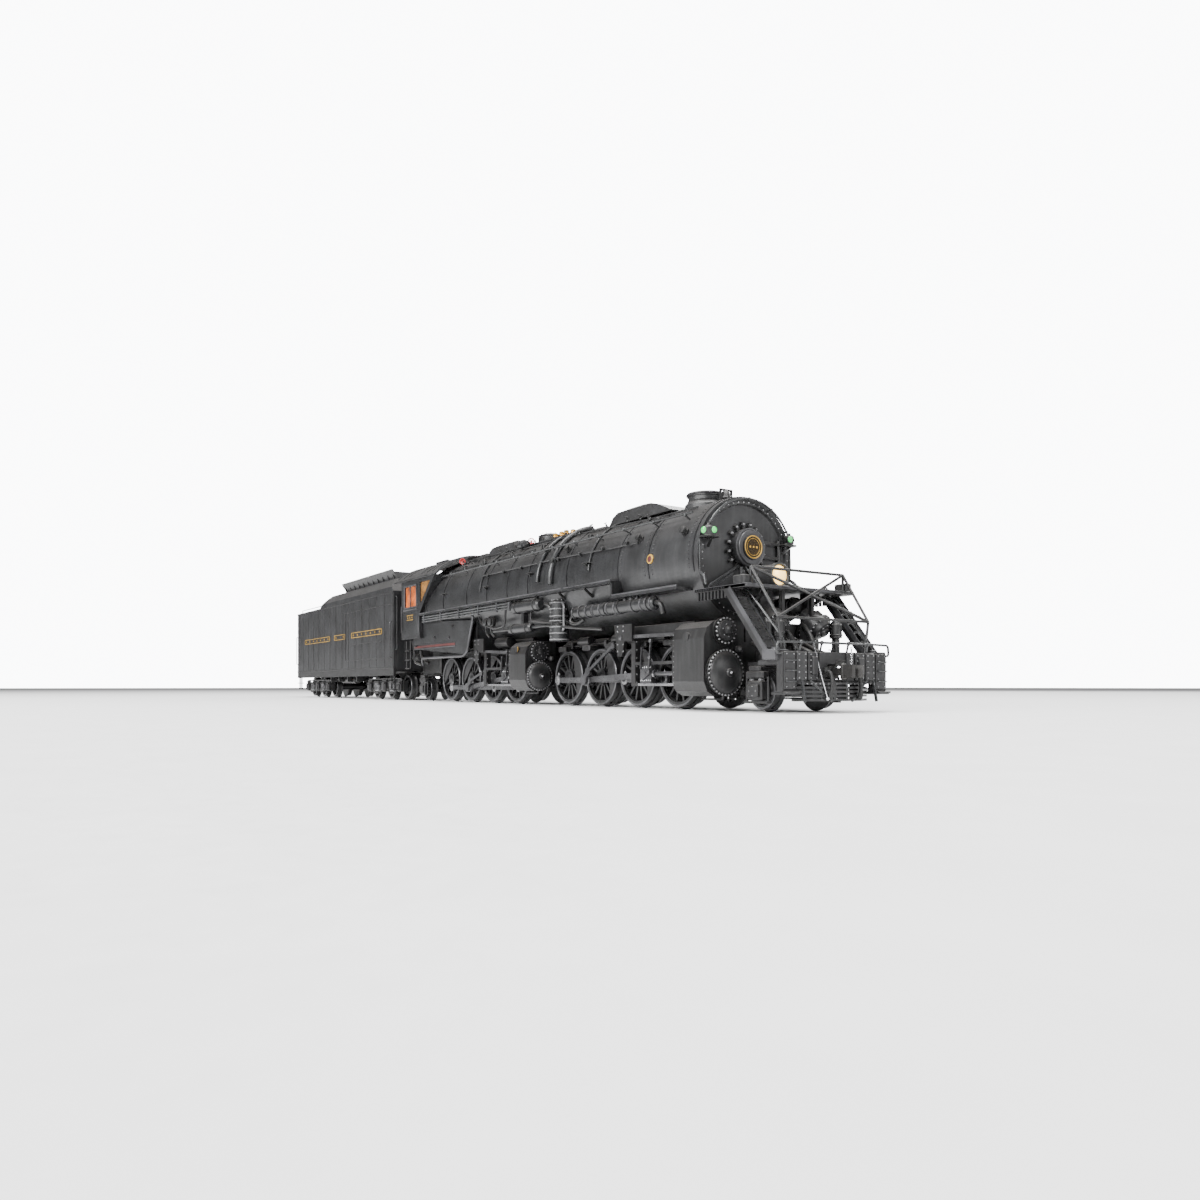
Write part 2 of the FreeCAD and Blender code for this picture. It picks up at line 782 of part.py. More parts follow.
def cylinder_block(engine, pressure):
    """The right-hand cylinder with its valve chest and heads, bored for the piston rod."""
    back, front = pressure + "_back", pressure + "_front"
    radius, valve_z, valve_radius = (pressure + end for end in ("_radius", "_valve_z", "_valve_radius"))
    axis_y = "-cylinder_axis_y"
    outer, top, bottom = pressure + "_outer", pressure + "_top", "cylinder_axis_z - %s" % radius
    casing = plate(engine + "_casing", "YZ_Plane", [
        ("-frame_half_width", "%s + 5" % bottom), ("13 - %s" % outer, bottom), ("6 - %s" % outer, bottom),
        ("2 - %s" % outer, "%s + 2.2" % bottom), ("-(%s)" % outer, "%s + 6.5" % bottom),
        ("-(%s)" % outer, "%s - 8" % top), ("1.6 - %s" % outer, "%s - 3.5" % top),
        ("5 - %s" % outer, "%s - 0.9" % top), ("9 - %s" % outer, top), ("-frame_half_width", top),
    ], (back, front))
    bores = (("cylinder", "cylinder_axis_z", radius), ("valve", valve_z, valve_radius))
    heads = []
    for end, x in (("front", front), ("back", "%s - cylinder_head * 0.4" % back)):
        depth = "cylinder_head * 0.4"
        for part_name, z, size_name in bores:
            share = 0.94 if end == "front" else 0.6
            heads.append(cylinder("%s_%s_%s_cover" % (engine, end, part_name), "x",
                                  "(%s) * %s" % (size_name, share), (x, "%s + %s" % (x, depth)), y=axis_y, z=z))
    for part_name, z, size_name in bores:
        heads.append(turned("%s_%s_dome" % (engine, part_name), "x", [
            ("0", "0"), ("0", "(%s) * 0.66" % size_name),
            ("cylinder_head * 0.35", "(%s) * 0.6" % size_name),
            ("cylinder_head * 0.6", "0"),
        ], x="%s + cylinder_head * 0.4" % front, y=axis_y, z=z))
    gland = cylinder(engine + "_gland", "x", "gland_radius",
                     ("%s - gland_length" % back, back), y=axis_y, z="cylinder_axis_z")
    emblem = cylinder(engine + "_emblem", "y", "emblem_radius",
                      ("-(%s) - emblem_rise" % outer, "emblem_radius - (%s)" % outer),
                      x="%s + emblem_setback" % back, z="emblem_z")
    solid = fuse(engine + "_block_solid", [casing, gland, emblem] + heads)
    bore = cylinder(engine + "_bore", "x", "piston_rod_radius + piston_rod_gap",
                    ("%s - 5" % back, "%s - 1" % front), y=axis_y, z="cylinder_axis_z")
    return cut(engine + "_block", solid, [bore])


def motion_bracket(engine, yoke_x, back):
    """Guide bars, their yoke and the valve gear link on the right-hand side."""
    top = "cylinder_axis_z + crosshead_half_height + 0.15"
    bottom = "cylinder_axis_z - crosshead_half_height - 0.15"
    guide_y = ("-crosshead_front", "-crosshead_back")
    guide_x = ("%s + yoke_thickness" % yoke_x, "%s - cylinder_head * 0.4" % back)
    upper = box(engine + "_upper_guide", guide_x, guide_y, (top, "%s + guide_thickness" % top))
    lower = box(engine + "_lower_guide", guide_x, guide_y, ("%s - guide_thickness" % bottom, bottom))
    yoke_span = (yoke_x, "%s + yoke_thickness" % yoke_x)
    leg = box(engine + "_yoke_leg", yoke_span, guide_y, ("%s - guide_thickness" % bottom, "yoke_top"))
    bridge = box(engine + "_yoke_bridge", yoke_span, ("-link_front", "-frame_half_width + 2"),
                 ("yoke_top - yoke_bridge", "yoke_top"))
    foot = box(engine + "_yoke_foot", yoke_span, ("-frame_half_width", "-frame_half_width + 2"),
               ("frame_top", "yoke_top"))
    link_x = "%s - 12" % yoke_x
    link = plate(engine + "_link", "XZ_Plane", [
        (link_x, "yoke_top + 6"), (link_x + " + 3", "yoke_top - 10"), (link_x + " + 7", "yoke_top - 10"),
        (link_x + " + 9", "yoke_top - yoke_bridge"), (yoke_x + " + yoke_thickness", "yoke_top - yoke_bridge"),
        (yoke_x + " + yoke_thickness", "yoke_top + 6"),
    ], ("-link_front", "-link_back"))
    return fuse(engine + "_motion", [upper, lower, leg, bridge, foot, link])


for engine, pressure in (("front", "low_pressure"), ("rear", "high_pressure")):
    sub_part(engine + "_cylinders", both_sides(cylinder_block(engine, pressure)))
    sub_part(engine + "_guides", both_sides(motion_bracket(engine, engine + "_yoke_x", pressure + "_back")))


# ---------------------------------------------------------------- engine frames

def axle_bores(name, first_x, radius="driver_radius"):
    """Bores for the four driving axles of an engine."""
    return [cylinder("%s_axle_bore_%d" % (name, axle), "y", "axle_radius + fit_gap",
                     ("-frame_half_width - 1", "frame_half_width + 1"),
                     x="%s - driver_spacing * %d" % (first_x, axle), z="%s + flange_depth" % radius)
            for axle in range(4)]


FRAME_Y = ("-frame_half_width", "frame_half_width")
INNER_Y = ("-frame_inner", "frame_inner")

front_block = plate("front_frame_block", "XZ_Plane", [
    ("front_frame_back", "frame_bottom"), ("front_frame_end", "frame_bottom"),
    ("front_frame_end", "frame_top"), ("front_frame_back", "frame_top"),
], FRAME_Y)
front_well = box("front_frame_well", ("front_frame_back + 5", "front_driver_x + 8"), INNER_Y,
                 ("frame_bottom + 2", "frame_top + 1"))
tongue = box("front_tongue", ("tongue_back", "front_frame_back + 1"),
             ("-tongue_half_width", "tongue_half_width"), ("tongue_bottom", "tongue_top"))
tongue_bore = cylinder("tongue_bore", "z", "hinge_pin_radius + fit_gap",
                       ("tongue_bottom - 1", "tongue_top + 1"), x="hinge_x")
saddle = box("front_saddle", ("low_pressure_back", "low_pressure_front"),
             ("-frame_half_width + 1", "frame_half_width - 1"), ("frame_top - 1", "saddle_top"))
bearing_post = box("boiler_bearing", ("front_yoke_x - 34", "front_yoke_x - 14"),
                   ("-frame_inner + 2", "frame_inner - 2"), ("frame_bottom + 1", "saddle_top - 2.2"))
lead_pin = cylinder("lead_truck_pin", "z", "truck_pin_radius", ("truck_pin_bottom", "frame_bottom + 1"),
                    x="lead_pivot_x")
front_solid = fuse("front_frame_solid", [
    cut("front_frame_shell", front_block, [front_well]), tongue, saddle, bearing_post, lead_pin])
sub_part("front_frame", cut("front_frame", front_solid,
                            axle_bores("front", "front_driver_x") + [tongue_bore]))

rear_block = plate("rear_frame_block", "XZ_Plane", [
    ("rear_frame_back", "rear_frame_underside"), ("trailing_pivot_x - 8", "rear_frame_underside"),
    ("trailing_pivot_x - 4", "frame_bottom"), ("fork_back", "frame_bottom"),
    ("fork_back", "frame_top"), ("rear_frame_back", "frame_top"),
], FRAME_Y)
rear_well = box("rear_frame_well", ("rear_driver_x - driver_spacing * 3 - 8", "rear_driver_x + 6"), INNER_Y,
                ("frame_bottom + 2", "frame_top + 1"))
fork_low = box("fork_low", ("fork_back - 1", "rear_frame_front"), FRAME_Y,
               ("tongue_bottom - clearance - fork_thickness", "tongue_bottom - clearance"))
fork_high = box("fork_high", ("fork_back - 1", "rear_frame_front"), FRAME_Y,
                ("tongue_top + clearance", "tongue_top + clearance + fork_thickness"))
articulation_pin = cylinder("articulation_pin", "z", "hinge_pin_radius",
                            ("tongue_bottom - clearance - 1", "tongue_top + clearance + 1"), x="hinge_x")
trailing_pin = cylinder("trailing_truck_pin", "z", "truck_pin_radius",
                        ("truck_pin_bottom", "frame_bottom + 1"), x="trailing_pivot_x")
drawbar_pin = cylinder("engine_drawbar_pin", "z", "drawbar_pin_radius",
                       ("drawbar_pin_bottom", "rear_frame_underside + 1"), x="drawbar_pin_x")
peg_hole = cylinder("peg_hole", "z", "peg_hole_radius",
                    ("frame_bottom - 1", "frame_bottom + peg_hole_depth"), x="peg_hole_x")
rear_solid = fuse("rear_frame_solid", [
    cut("rear_frame_shell", rear_block, [rear_well]), fork_low, fork_high, articulation_pin,
    trailing_pin, drawbar_pin])
sub_part("rear_frame", cut("rear_frame", rear_solid,
                           axle_bores("rear", "rear_driver_x") + [peg_hole]))


def guide_truck(label, axle_x, pivot_x):
    """A two-wheel truck: an axle block with a tongue to its pivot."""
    toward = 1 if size(pivot_x) > size(axle_x) else -1
    z = "guide_wheel_radius + flange_depth"
    block = box(label + "_block", (axle_x + " - truck_block_half", axle_x + " + truck_block_half"),
                ("-truck_block_width", "truck_block_width"),
                (z + " - truck_block_rise", z + " + truck_block_rise * 0.6"))
    eye = cylinder(label + "_eye", "z", "truck_tongue_half + 1", ("truck_tongue_bottom", "truck_tongue_top"),
                   x=pivot_x)
    ends = (axle_x, pivot_x) if toward > 0 else (pivot_x, axle_x)
    bar = box(label + "_bar", ends, ("-truck_tongue_half", "truck_tongue_half"),
              ("truck_tongue_bottom", "truck_tongue_top"))
    bore = cylinder(label + "_pin_bore", "z", "truck_pin_radius + fit_gap",
                    ("truck_tongue_bottom - 1", "truck_tongue_top + 1"), x=pivot_x)
    axle_bore = cylinder(label + "_axle_bore", "y", "axle_radius + fit_gap",
                         ("-truck_block_width - 1", "truck_block_width + 1"), x=axle_x, z=z)
    sub_part(label, cut(label, fuse(label + "_solid", [block, eye, bar]), [bore, axle_bore]))


guide_truck("lead_truck", "lead_axle_x", "lead_pivot_x")
guide_truck("trailing_truck", "trailing_axle_x", "trailing_pivot_x")


# ---------------------------------------------------------------- boiler

def boiler_space(name, radius, low, high):
    """A solid of the boiler's own outline, used to trim what is fitted to it."""
    return cylinder(name, "x", radius, (low, high), z="boiler_axis_z")


sub_part("boiler_shell", turned("boiler_shell", "x", [
    ("boiler_back", "boiler_radius"), ("taper_back", "boiler_radius"),
    ("smokebox_back", "smokebox_radius"), ("smokebox_back", "smokebox_radius - shell_wall"),
    ("taper_back", "boiler_radius - shell_wall"), ("boiler_back", "boiler_radius - shell_wall"),
], z="boiler_axis_z"))

smokebox_tube = turned("smokebox_tube", "x", [
    ("smokebox_back", "smokebox_radius"), ("smokebox_front", "smokebox_radius"),
    ("smokebox_front", "smokebox_radius - shell_wall"), ("smokebox_back", "smokebox_radius - shell_wall"),
], z="boiler_axis_z")
smoke_hole = cylinder("smoke_hole", "z", "smoke_tube_radius", ("boiler_axis_z", "stack_top"), x="stack_x")
sub_part("smokebox_shell", cut("smokebox_shell", smokebox_tube, [smoke_hole]))

front_plate = turned("smokebox_front_plate", "x", [
    ("smokebox_front", "0"), ("smokebox_front", "smokebox_radius"),
    ("smokebox_front + front_ring", "smokebox_radius"),
    ("smokebox_front + front_ring", "smokebox_radius - 3.4"),
    ("smokebox_front + front_ring - front_plate_step", "smokebox_radius - 4"),
    ("smokebox_front + front_ring - front_plate_step", "0"),
], z="boiler_axis_z")
DOOR_BACK = "smokebox_front + front_ring - front_plate_step"
door = turned("smokebox_door", "x", [
    (DOOR_BACK, "0"), (DOOR_BACK, "door_radius"),
    (DOOR_BACK + " + door_depth * 0.8", "door_radius"),
    (DOOR_BACK + " + door_depth", "plate_radius + 1"),
    (DOOR_BACK + " + door_depth", "plate_radius"),
    (DOOR_BACK + " + door_depth + plate_depth", "plate_radius"),
    (DOOR_BACK + " + door_depth + plate_depth", "0"),
], z="door_axis_z")
sub_part("smokebox_front", group("smokebox_front", [front_plate, door]))

stack = turned("stack_casting", "z", [
    ("boiler_axis_z + smokebox_radius - 3", "stack_bore"),
    ("boiler_axis_z + smokebox_radius - 3", "stack_flare"),
    ("boiler_axis_z + smokebox_radius + 0.4", "stack_flare"),
    ("boiler_axis_z + smokebox_radius + 2.4", "stack_radius"),
    ("stack_top - stack_rim", "stack_radius"),
    ("stack_top - stack_rim", "stack_radius + 0.7"),
    ("stack_top", "stack_radius + 0.7"),
    ("stack_top", "stack_bore"),
], x="stack_x")
sub_part("smokestack", cut("smokestack", stack, [
    boiler_space("stack_seat", "smokebox_radius", "smokebox_back", "smokebox_front")]))

DOME_SEAT = "boiler_axis_z + boiler_radius * 0.9"


def dome_outline(top, half_width):
    """The end view of a sand dome: flat top, rounded shoulders, spreading feet."""
    return [
        ("-(%s) - 2" % half_width, DOME_SEAT), ("(%s) + 2" % half_width, DOME_SEAT),
        (half_width, "%s - dome_chamfer * 1.6" % top),
        ("%s - dome_chamfer * 0.45" % half_width, "%s - dome_chamfer * 0.6" % top),
        ("%s - dome_chamfer * 1.6" % half_width, top), ("dome_chamfer * 1.6 - (%s)" % half_width, top),
        ("dome_chamfer * 0.45 - (%s)" % half_width, "%s - dome_chamfer * 0.6" % top),
        ("-(%s)" % half_width, "%s - dome_chamfer * 1.6" % top),
    ]


def fitted_dome(name, end_view, side_view, back, front):
    """A dome shaped by its end view and its side view, seated on the boiler."""
    lengthwise = plate(name + "_length", "YZ_Plane", end_view, (back, front))
    across = plate(name + "_across", "XZ_Plane", side_view, ("-dome_half_width - 4", "dome_half_width + 4"))
    seat = turned(name + "_seat", "x", [
        ("boiler_back", "0"), ("boiler_back", "boiler_radius"), ("taper_back", "boiler_radius"),
        ("smokebox_back", "smokebox_radius"), ("smokebox_front", "smokebox_radius"), ("smokebox_front", "0"),
    ], z="boiler_axis_z")
    return cut(name, common(name + "_form", [lengthwise, across]), [seat])


front_dome = fitted_dome("front_dome", dome_outline("front_dome_top", "dome_half_width"), [
    ("front_dome_back", DOME_SEAT), ("front_dome_front", DOME_SEAT),
    ("front_dome_front", "front_dome_nose - 1.6"), ("front_dome_front - 4", "front_dome_nose"),
    ("front_dome_front - 13", "front_dome_nose + 3.4"), ("front_dome_crest + 8", "front_dome_top - 0.9"),
    ("front_dome_crest", "front_dome_top"), ("front_dome_back + 12", "front_dome_top - 0.4"),
    ("front_dome_back + 3", "front_dome_top - 1.8"), ("front_dome_back", "front_dome_top - 4.4"),
], "front_dome_back", "front_dome_front")
rear_dome = fitted_dome("rear_dome", dome_outline("rear_dome_top - 1", "dome_half_width - 1"), [
    ("rear_dome_back", DOME_SEAT), ("rear_dome_front", DOME_SEAT),
    ("rear_dome_front", "rear_dome_top - 5"), ("rear_dome_front - 4", "rear_dome_top - 1"),
    ("rear_dome_back + 4", "rear_dome_top - 1"), ("rear_dome_back", "rear_dome_top - 5"),
], "rear_dome_back", "rear_dome_front")

steam_dome = turned("steam_dome_casing", "z", [
    (DOME_SEAT, "0"), (DOME_SEAT, "steam_dome_radius + 1.4"),
    ("boiler_axis_z + boiler_radius + 1.2", "steam_dome_radius"),
    ("steam_dome_top - 2.6", "steam_dome_radius"), ("steam_dome_top - 0.9", "steam_dome_radius - 1.2"),
    ("steam_dome_top", "steam_dome_radius - 3.6"), ("steam_dome_top", "0"),
], x="steam_dome_x")
turret = fitted_dome("turret_casing", dome_outline("turret_top", "turret_half_width"), [
    ("turret_back", DOME_SEAT), ("turret_front", DOME_SEAT), ("turret_front", "turret_top - 2"),
    ("turret_front - 2", "turret_top"), ("turret_back", "turret_top"),
], "turret_back", "turret_front")
steam_dome_fitted = cut("steam_dome_fitted", steam_dome, [
    boiler_space("steam_dome_seat", "boiler_radius", "boiler_back", "taper_back")])
sub_part("domes", group("domes", [front_dome, steam_dome_fitted, rear_dome, turret]))


def safety_valve(index):
    """One spring safety valve, trimmed to the boiler's top."""
    x = "valve_x + valve_pitch * %d" % (index // 2)
    y = "valve_pair_y * %d" % (1 if index % 2 else -1)
    return turned("safety_valve_%d" % index, "z", [
        ("boiler_axis_z + boiler_radius", "0"), ("boiler_axis_z + boiler_radius", "valve_radius"),
        ("boiler_axis_z + boiler_radius + 1.4", "valve_radius"),
        ("boiler_axis_z + boiler_radius + 1.8", "valve_radius * 0.7"),
        ("valve_top - 0.8", "valve_radius * 0.7"), ("valve_top", "valve_radius * 0.45"), ("valve_top", "0"),
    ], x=x, y=y)


bell_post = cylinder("bell_post", "z", "bell_radius * 0.5",
                     ("boiler_axis_z + smokebox_radius", "bell_top - 2"), x="bell_x")
bell_cup = turned("bell_cup", "z", [
    ("bell_top - 4.4", "0"), ("bell_top - 4.4", "bell_radius"), ("bell_top - 3", "bell_radius * 0.75"),
    ("bell_top - 0.8", "bell_radius * 0.55"), ("bell_top", "0"),
], x="bell_x")
bell = fuse("bell", [bell_post, bell_cup])
sub_part("safety_valves_and_bell", group("safety_valves_and_bell", [
    safety_valve(index) for index in range(4)] + [bell]))


# ---------------------------------------------------------------- firebox, ash pans and cab

firebox_block = box("firebox_block", ("firebox_back", "firebox_front"),
                    ("-firebox_half_width", "firebox_half_width"), ("firebox_bottom", "boiler_axis_z - 4"))
firebox_hollow = box("firebox_hollow", ("firebox_back + firebox_wall", "firebox_front - firebox_wall"),
                     ("firebox_wall - firebox_half_width", "firebox_half_width - firebox_wall"),
                     ("firebox_bottom + firebox_wall", "boiler_axis_z"))
firebox_casing = cut("firebox_casing", firebox_block, [
    firebox_hollow, boiler_space("firebox_seat", "boiler_radius", "boiler_back - 1", "taper_back")])

ash_pan = plate("ash_pan_side", "XZ_Plane", [
    ("pan_back", "pan_top + 1"), ("pan_back", "pan_rear_bottom"),
    ("pan_throat - 6", "pan_bottom"), ("pan_throat - 2", "pan_bottom + 1"),
    ("pan_throat", "pan_bottom + 4"), ("pan_throat + 4", "pan_top - 7"), ("pan_front", "pan_top - 4"),
], ("-pan_face", "-pan_face + firebox_wall"))
pan_bracket = box("ash_pan_bracket", ("firebox_back + 12", "firebox_front - 12"),
                  ("-pan_face + firebox_wall", "-firebox_half_width"), ("firebox_bottom + 3", "firebox_bottom + 6"))
sub_part("firebox", group("firebox", [firebox_casing, both_sides(fuse("ash_pan", [ash_pan, pan_bracket]))]))

cab_side_outline = [
    ("cab_back", "cab_bottom"), ("cab_front", "cab_bottom"), ("cab_front", "cab_shelf"),
    ("cab_peak_x", "eave"), ("cab_back", "eave"),
]
cab_side = plate("cab_side_plate", "XZ_Plane", cab_side_outline, ("-cab_half_width", "cab_wall - cab_half_width"))
side_window = box("cab_side_window", ("window_back", "window_front"),
                  ("-cab_half_width - 1", "-cab_half_width + cab_wall + 1"), ("window_bottom", "window_top"))
quarter_window = plate("cab_quarter_window", "XZ_Plane", [
    ("quarter_window_back", "window_bottom + 2"), ("quarter_window_back + 1.5", "window_bottom + 2"),
    ("cab_peak_x - 8", "quarter_window_top"), ("quarter_window_back", "quarter_window_top"),
], ("-cab_half_width - 1", "-cab_half_width + cab_wall + 1"))
cab_right = cut("cab_side", cab_side, [side_window, quarter_window])
slope_run = "(cab_peak_x - cab_front) / (eave - cab_shelf)"
cab_front_wall = plate("cab_front_plate", "XZ_Plane", [
    ("cab_front", "cab_shelf"), ("cab_peak_x", "eave"),
    ("cab_peak_x - cab_wall * 1.5", "eave"), ("cab_front - cab_wall * 1.5", "cab_shelf"),
], ("cab_wall - cab_half_width", "cab_half_width - cab_wall"))
cab_low_wall = box("cab_low_wall", ("cab_front - cab_wall", "cab_front"),
                   ("cab_wall - cab_half_width", "cab_half_width - cab_wall"), ("cab_bottom", "cab_shelf"))
cab_front_wall_cut = cut("cab_front_wall", fuse("cab_front_solid", [cab_front_wall, cab_low_wall]), [
    boiler_space("cab_front_seat", "boiler_radius + 0.02", "cab_back", "taper_back"),
    box("cab_front_notch", ("cab_back", "cab_peak_x"), ("-pan_face - 0.2", "pan_face + 0.2"),
        ("cab_bottom - 1", "boiler_axis_z"))])
sub_part("cab_shell", fuse("cab_shell", [cab_right, mirrored(cab_right), cab_front_wall_cut]))

ROOF_AXIS_Z = "roof_top - roof_radius"
roof_tube = turned("roof_tube", "x", [
    ("roof_back", "roof_radius"), ("roof_front", "roof_radius"),
    ("roof_front", "roof_radius - roof_wall"), ("roof_back", "roof_radius - roof_wall"),
], z=ROOF_AXIS_Z)
roof_room = box("roof_room", ("roof_back - 1", "roof_front + 1"), ("-roof_half_width", "roof_half_width"),
                ("eave", "roof_top + 1"))
roof_hatch = box("roof_hatch", ("roof_back + 26", "roof_back + 46"), ("-9", "9"),
                 ("roof_top - 1.2", "roof_top + 0.8"))
sub_part("cab_roof", fuse("cab_roof", [common("roof_skin", [roof_tube, roof_room]), roof_hatch]))

floor_plate = box("cab_floor_plate", ("cab_back", "cab_front - cab_wall - 0.2"),
                  ("clearance + firebox_wall - pan_face", "pan_face - firebox_wall - clearance"),
                  ("cab_floor_top - floor_thickness", "cab_floor_top"))
floor_pillar = box("cab_floor_pillar", ("cab_back + 6", "cab_front - 6"),
                   ("-frame_half_width + 2", "frame_half_width - 2"), ("frame_top", "cab_floor_top - floor_thickness"))
backhead_disc = cylinder("backhead_disc", "x", "boiler_radius",
                         ("boiler_back - backhead_thickness", "boiler_back"), z="boiler_axis_z")
backhead_trim = box("backhead_trim", ("boiler_back - 4", "boiler_back + 1"), ("-40", "40"),
                    ("0", "cab_floor_top - floor_thickness"))
fire_door = cylinder("fire_door", "x", "5", ("boiler_back - backhead_thickness - 1", "boiler_back - 1"),
                     z="boiler_axis_z - 8")
gauges = [cylinder("steam_gauge_%d" % index, "x", "2.4",
                   ("boiler_back - backhead_thickness - 1.2", "boiler_back - 1"),
                   y=str(6.5 * (index - 1)), z="boiler_axis_z + 13") for index in range(3)]
sub_part("backhead", fuse("backhead", [
    floor_plate, floor_pillar, cut("backhead_plate", backhead_disc, [backhead_trim]), fire_door] + gauges))


# ---------------------------------------------------------------- walkways and side equipment

def walkway(name, back, front, top):
    """A right-hand walkway plank with a raised edge strip."""
    plank = box(name + "_plank", (back, front), ("-walkway_edge", "-walkway_inner"),
                (top + " - walkway_thickness", top))
    rim = box(name + "_rim", (back, front), ("-walkway_edge - walkway_rim", "-walkway_edge"),
              (top + " - rim_height + 0.8", top + " + 0.8"))
    return [plank, rim]


riser = box("walkway_riser", ("walkway_front - walkway_thickness", "walkway_front + clearance"),
            ("-walkway_edge", "-walkway_inner"), ("low_walkway_top - walkway_thickness", "walkway_top"))
right_walkway = cut("right_walkway", fuse("walkway_solid", (
    walkway("high_walkway", "walkway_back", "walkway_front", "walkway_top")
    + walkway("low_walkway", "walkway_front", "low_walkway_front", "low_walkway_top") + [riser])), [
        boiler_space("walkway_seat", "boiler_radius", "boiler_back - 1", "walkway_front"),
        boiler_space("low_walkway_seat", "smokebox_radius", "walkway_front", "smokebox_front")])
sub_part("walkways", both_sides(right_walkway))


def lying_tank(name, radius, back, front, y, z):
    """A tank with rounded ends, lying along the locomotive."""
    return turned(name, "x", [
        (back, "0"), (back, "(%s) * 0.7" % radius), ("%s + 1" % back, radius),
        ("%s - 1" % front, radius), (front, "(%s) * 0.7" % radius), (front, "0"),
    ], y=y, z=z)


def hangers(name, positions, y, z, top):
    """Straps from a tank up to the boiler side."""
    return [box("%s_hanger_%d" % (name, index), (x, "%s + hanger_width" % x), (y, "-hanger_inner"), (z, top))
            for index, x in enumerate(positions)]


heater = fuse("feedwater_heater_body", [
    lying_tank("heater_shell", "heater_radius", "heater_x", "heater_x + heater_length", "-heater_y", "heater_z")]
    + [cylinder("heater_band_%d" % index, "x", "heater_radius + 0.35",
                ("heater_x + %d" % (6 + 12 * index), "heater_x + %d" % (8 + 12 * index)),
                y="-heater_y", z="heater_z") for index in range(6)]
    + hangers("heater", ["heater_x + 12", "heater_x + 32"], "-heater_y", "heater_z", "heater_z + 1.6"))
sub_part("feedwater_heater", both_sides(cut("heater_fitted", heater, [
    boiler_space("heater_seat", "boiler_radius", "taper_back - 1", "smokebox_front")])))

compressor = turned("compressor_body", "z", [
    ("compressor_bottom", "0"), ("compressor_bottom", "compressor_radius"),
    ("compressor_bottom + 9", "compressor_radius"), ("compressor_bottom + 9.6", "compressor_waist"),
    ("compressor_bottom + 12", "compressor_waist"), ("compressor_bottom + 12.6", "compressor_radius - 0.4"),
    ("compressor_top - 1", "compressor_radius - 0.4"), ("compressor_top", "compressor_radius - 2"),
    ("compressor_top", "0"),
], x="compressor_x", y="-compressor_y")
compressor_bracket = box("compressor_bracket", ("compressor_x - 3", "compressor_x + 3"),
                         ("-compressor_y", "-hanger_inner + 4"), ("compressor_bottom + 14", "compressor_bottom + 17"))
air_compressor = cut("air_compressor", fuse("compressor_solid", [compressor, compressor_bracket]), [
    boiler_space("compressor_seat", "boiler_radius", "boiler_back", "taper_back")])

air_tank = lying_tank("air_tank_shell", "tank_radius", "tank_back", "tank_front", "-tank_y", "tank_z")
reverser = lying_tank("reverser_shell", "reverser_radius", "reverser_back", "reverser_front",
                      "-reverser_y", "reverser_z")
reverser_shaft = cylinder("reverser_shaft", "x", "0.9", ("reverser_front - 1", "reverser_front + 16"),
                          y="-reverser_y", z="reverser_z")
tank_post = box("tank_post", ("tank_back + 8", "tank_back + 11"), ("-tank_y", "-tank_y + 3"),
                ("reverser_z", "tank_z"))
tank_arm = box("tank_arm", ("tank_back + 8", "tank_back + 11"), ("-tank_y", "-hanger_inner + 6"),
               ("tank_z - 1", "tank_z + 1"))
air_tank_fitted = cut("air_tank", fuse("air_tank_solid", [
    air_tank, reverser, reverser_shaft, tank_post, tank_arm]), [
        boiler_space("air_tank_seat", "boiler_radius", "boiler_back", "taper_back")])
sub_part("air_equipment", group("air_equipment", [both_sides(air_tank_fitted), air_compressor]))

motor_can = cylinder("motor_can", "x", "motor_radius", ("motor_back", "motor_front"), z="boiler_axis_z")
motor_shaft = cylinder("motor_shaft", "x", "1.5", ("motor_back - 8", "motor_front + 8"), z="boiler_axis_z")
flywheel = cylinder("flywheel", "x", "motor_radius - 3", ("motor_front + 3", "motor_front + 12"),
                    z="boiler_axis_z")
motor_foot = box("motor_foot", ("motor_back + 10", "motor_front - 10"), ("-motor_foot_half", "motor_foot_half"),
                 ("motor_foot_bottom", "boiler_axis_z"))
sub_part("motor", fuse("motor", [motor_can, motor_shaft, flywheel, motor_foot]))

smoke_box = box("smoke_chamber", ("stack_x - smoke_unit_half", "stack_x + smoke_unit_half"),
                ("-smoke_unit_half", "smoke_unit_half"), ("smoke_unit_bottom", "smoke_unit_top"))
smoke_tube = cylinder("smoke_tube", "z", "smoke_tube_radius - 0.2",
                      ("smoke_unit_top - 1", "boiler_axis_z + smokebox_radius"), x="stack_x")
smoke_foot = box("smoke_foot", ("stack_x - 4", "stack_x + 4"), ("-5", "5"),
                 ("boiler_axis_z - smokebox_radius + shell_wall + 0.6", "smoke_unit_bottom + 1"))
sub_part("smoke_unit", cut("smoke_unit", fuse("smoke_unit_solid", [smoke_box, smoke_tube, smoke_foot]), [
    cylinder("smoke_bore", "z", "smoke_tube_radius - 1.2", ("smoke_unit_bottom + 6", "stack_top"), x="stack_x")]))


# ---------------------------------------------------------------- pilot, platform and headlight

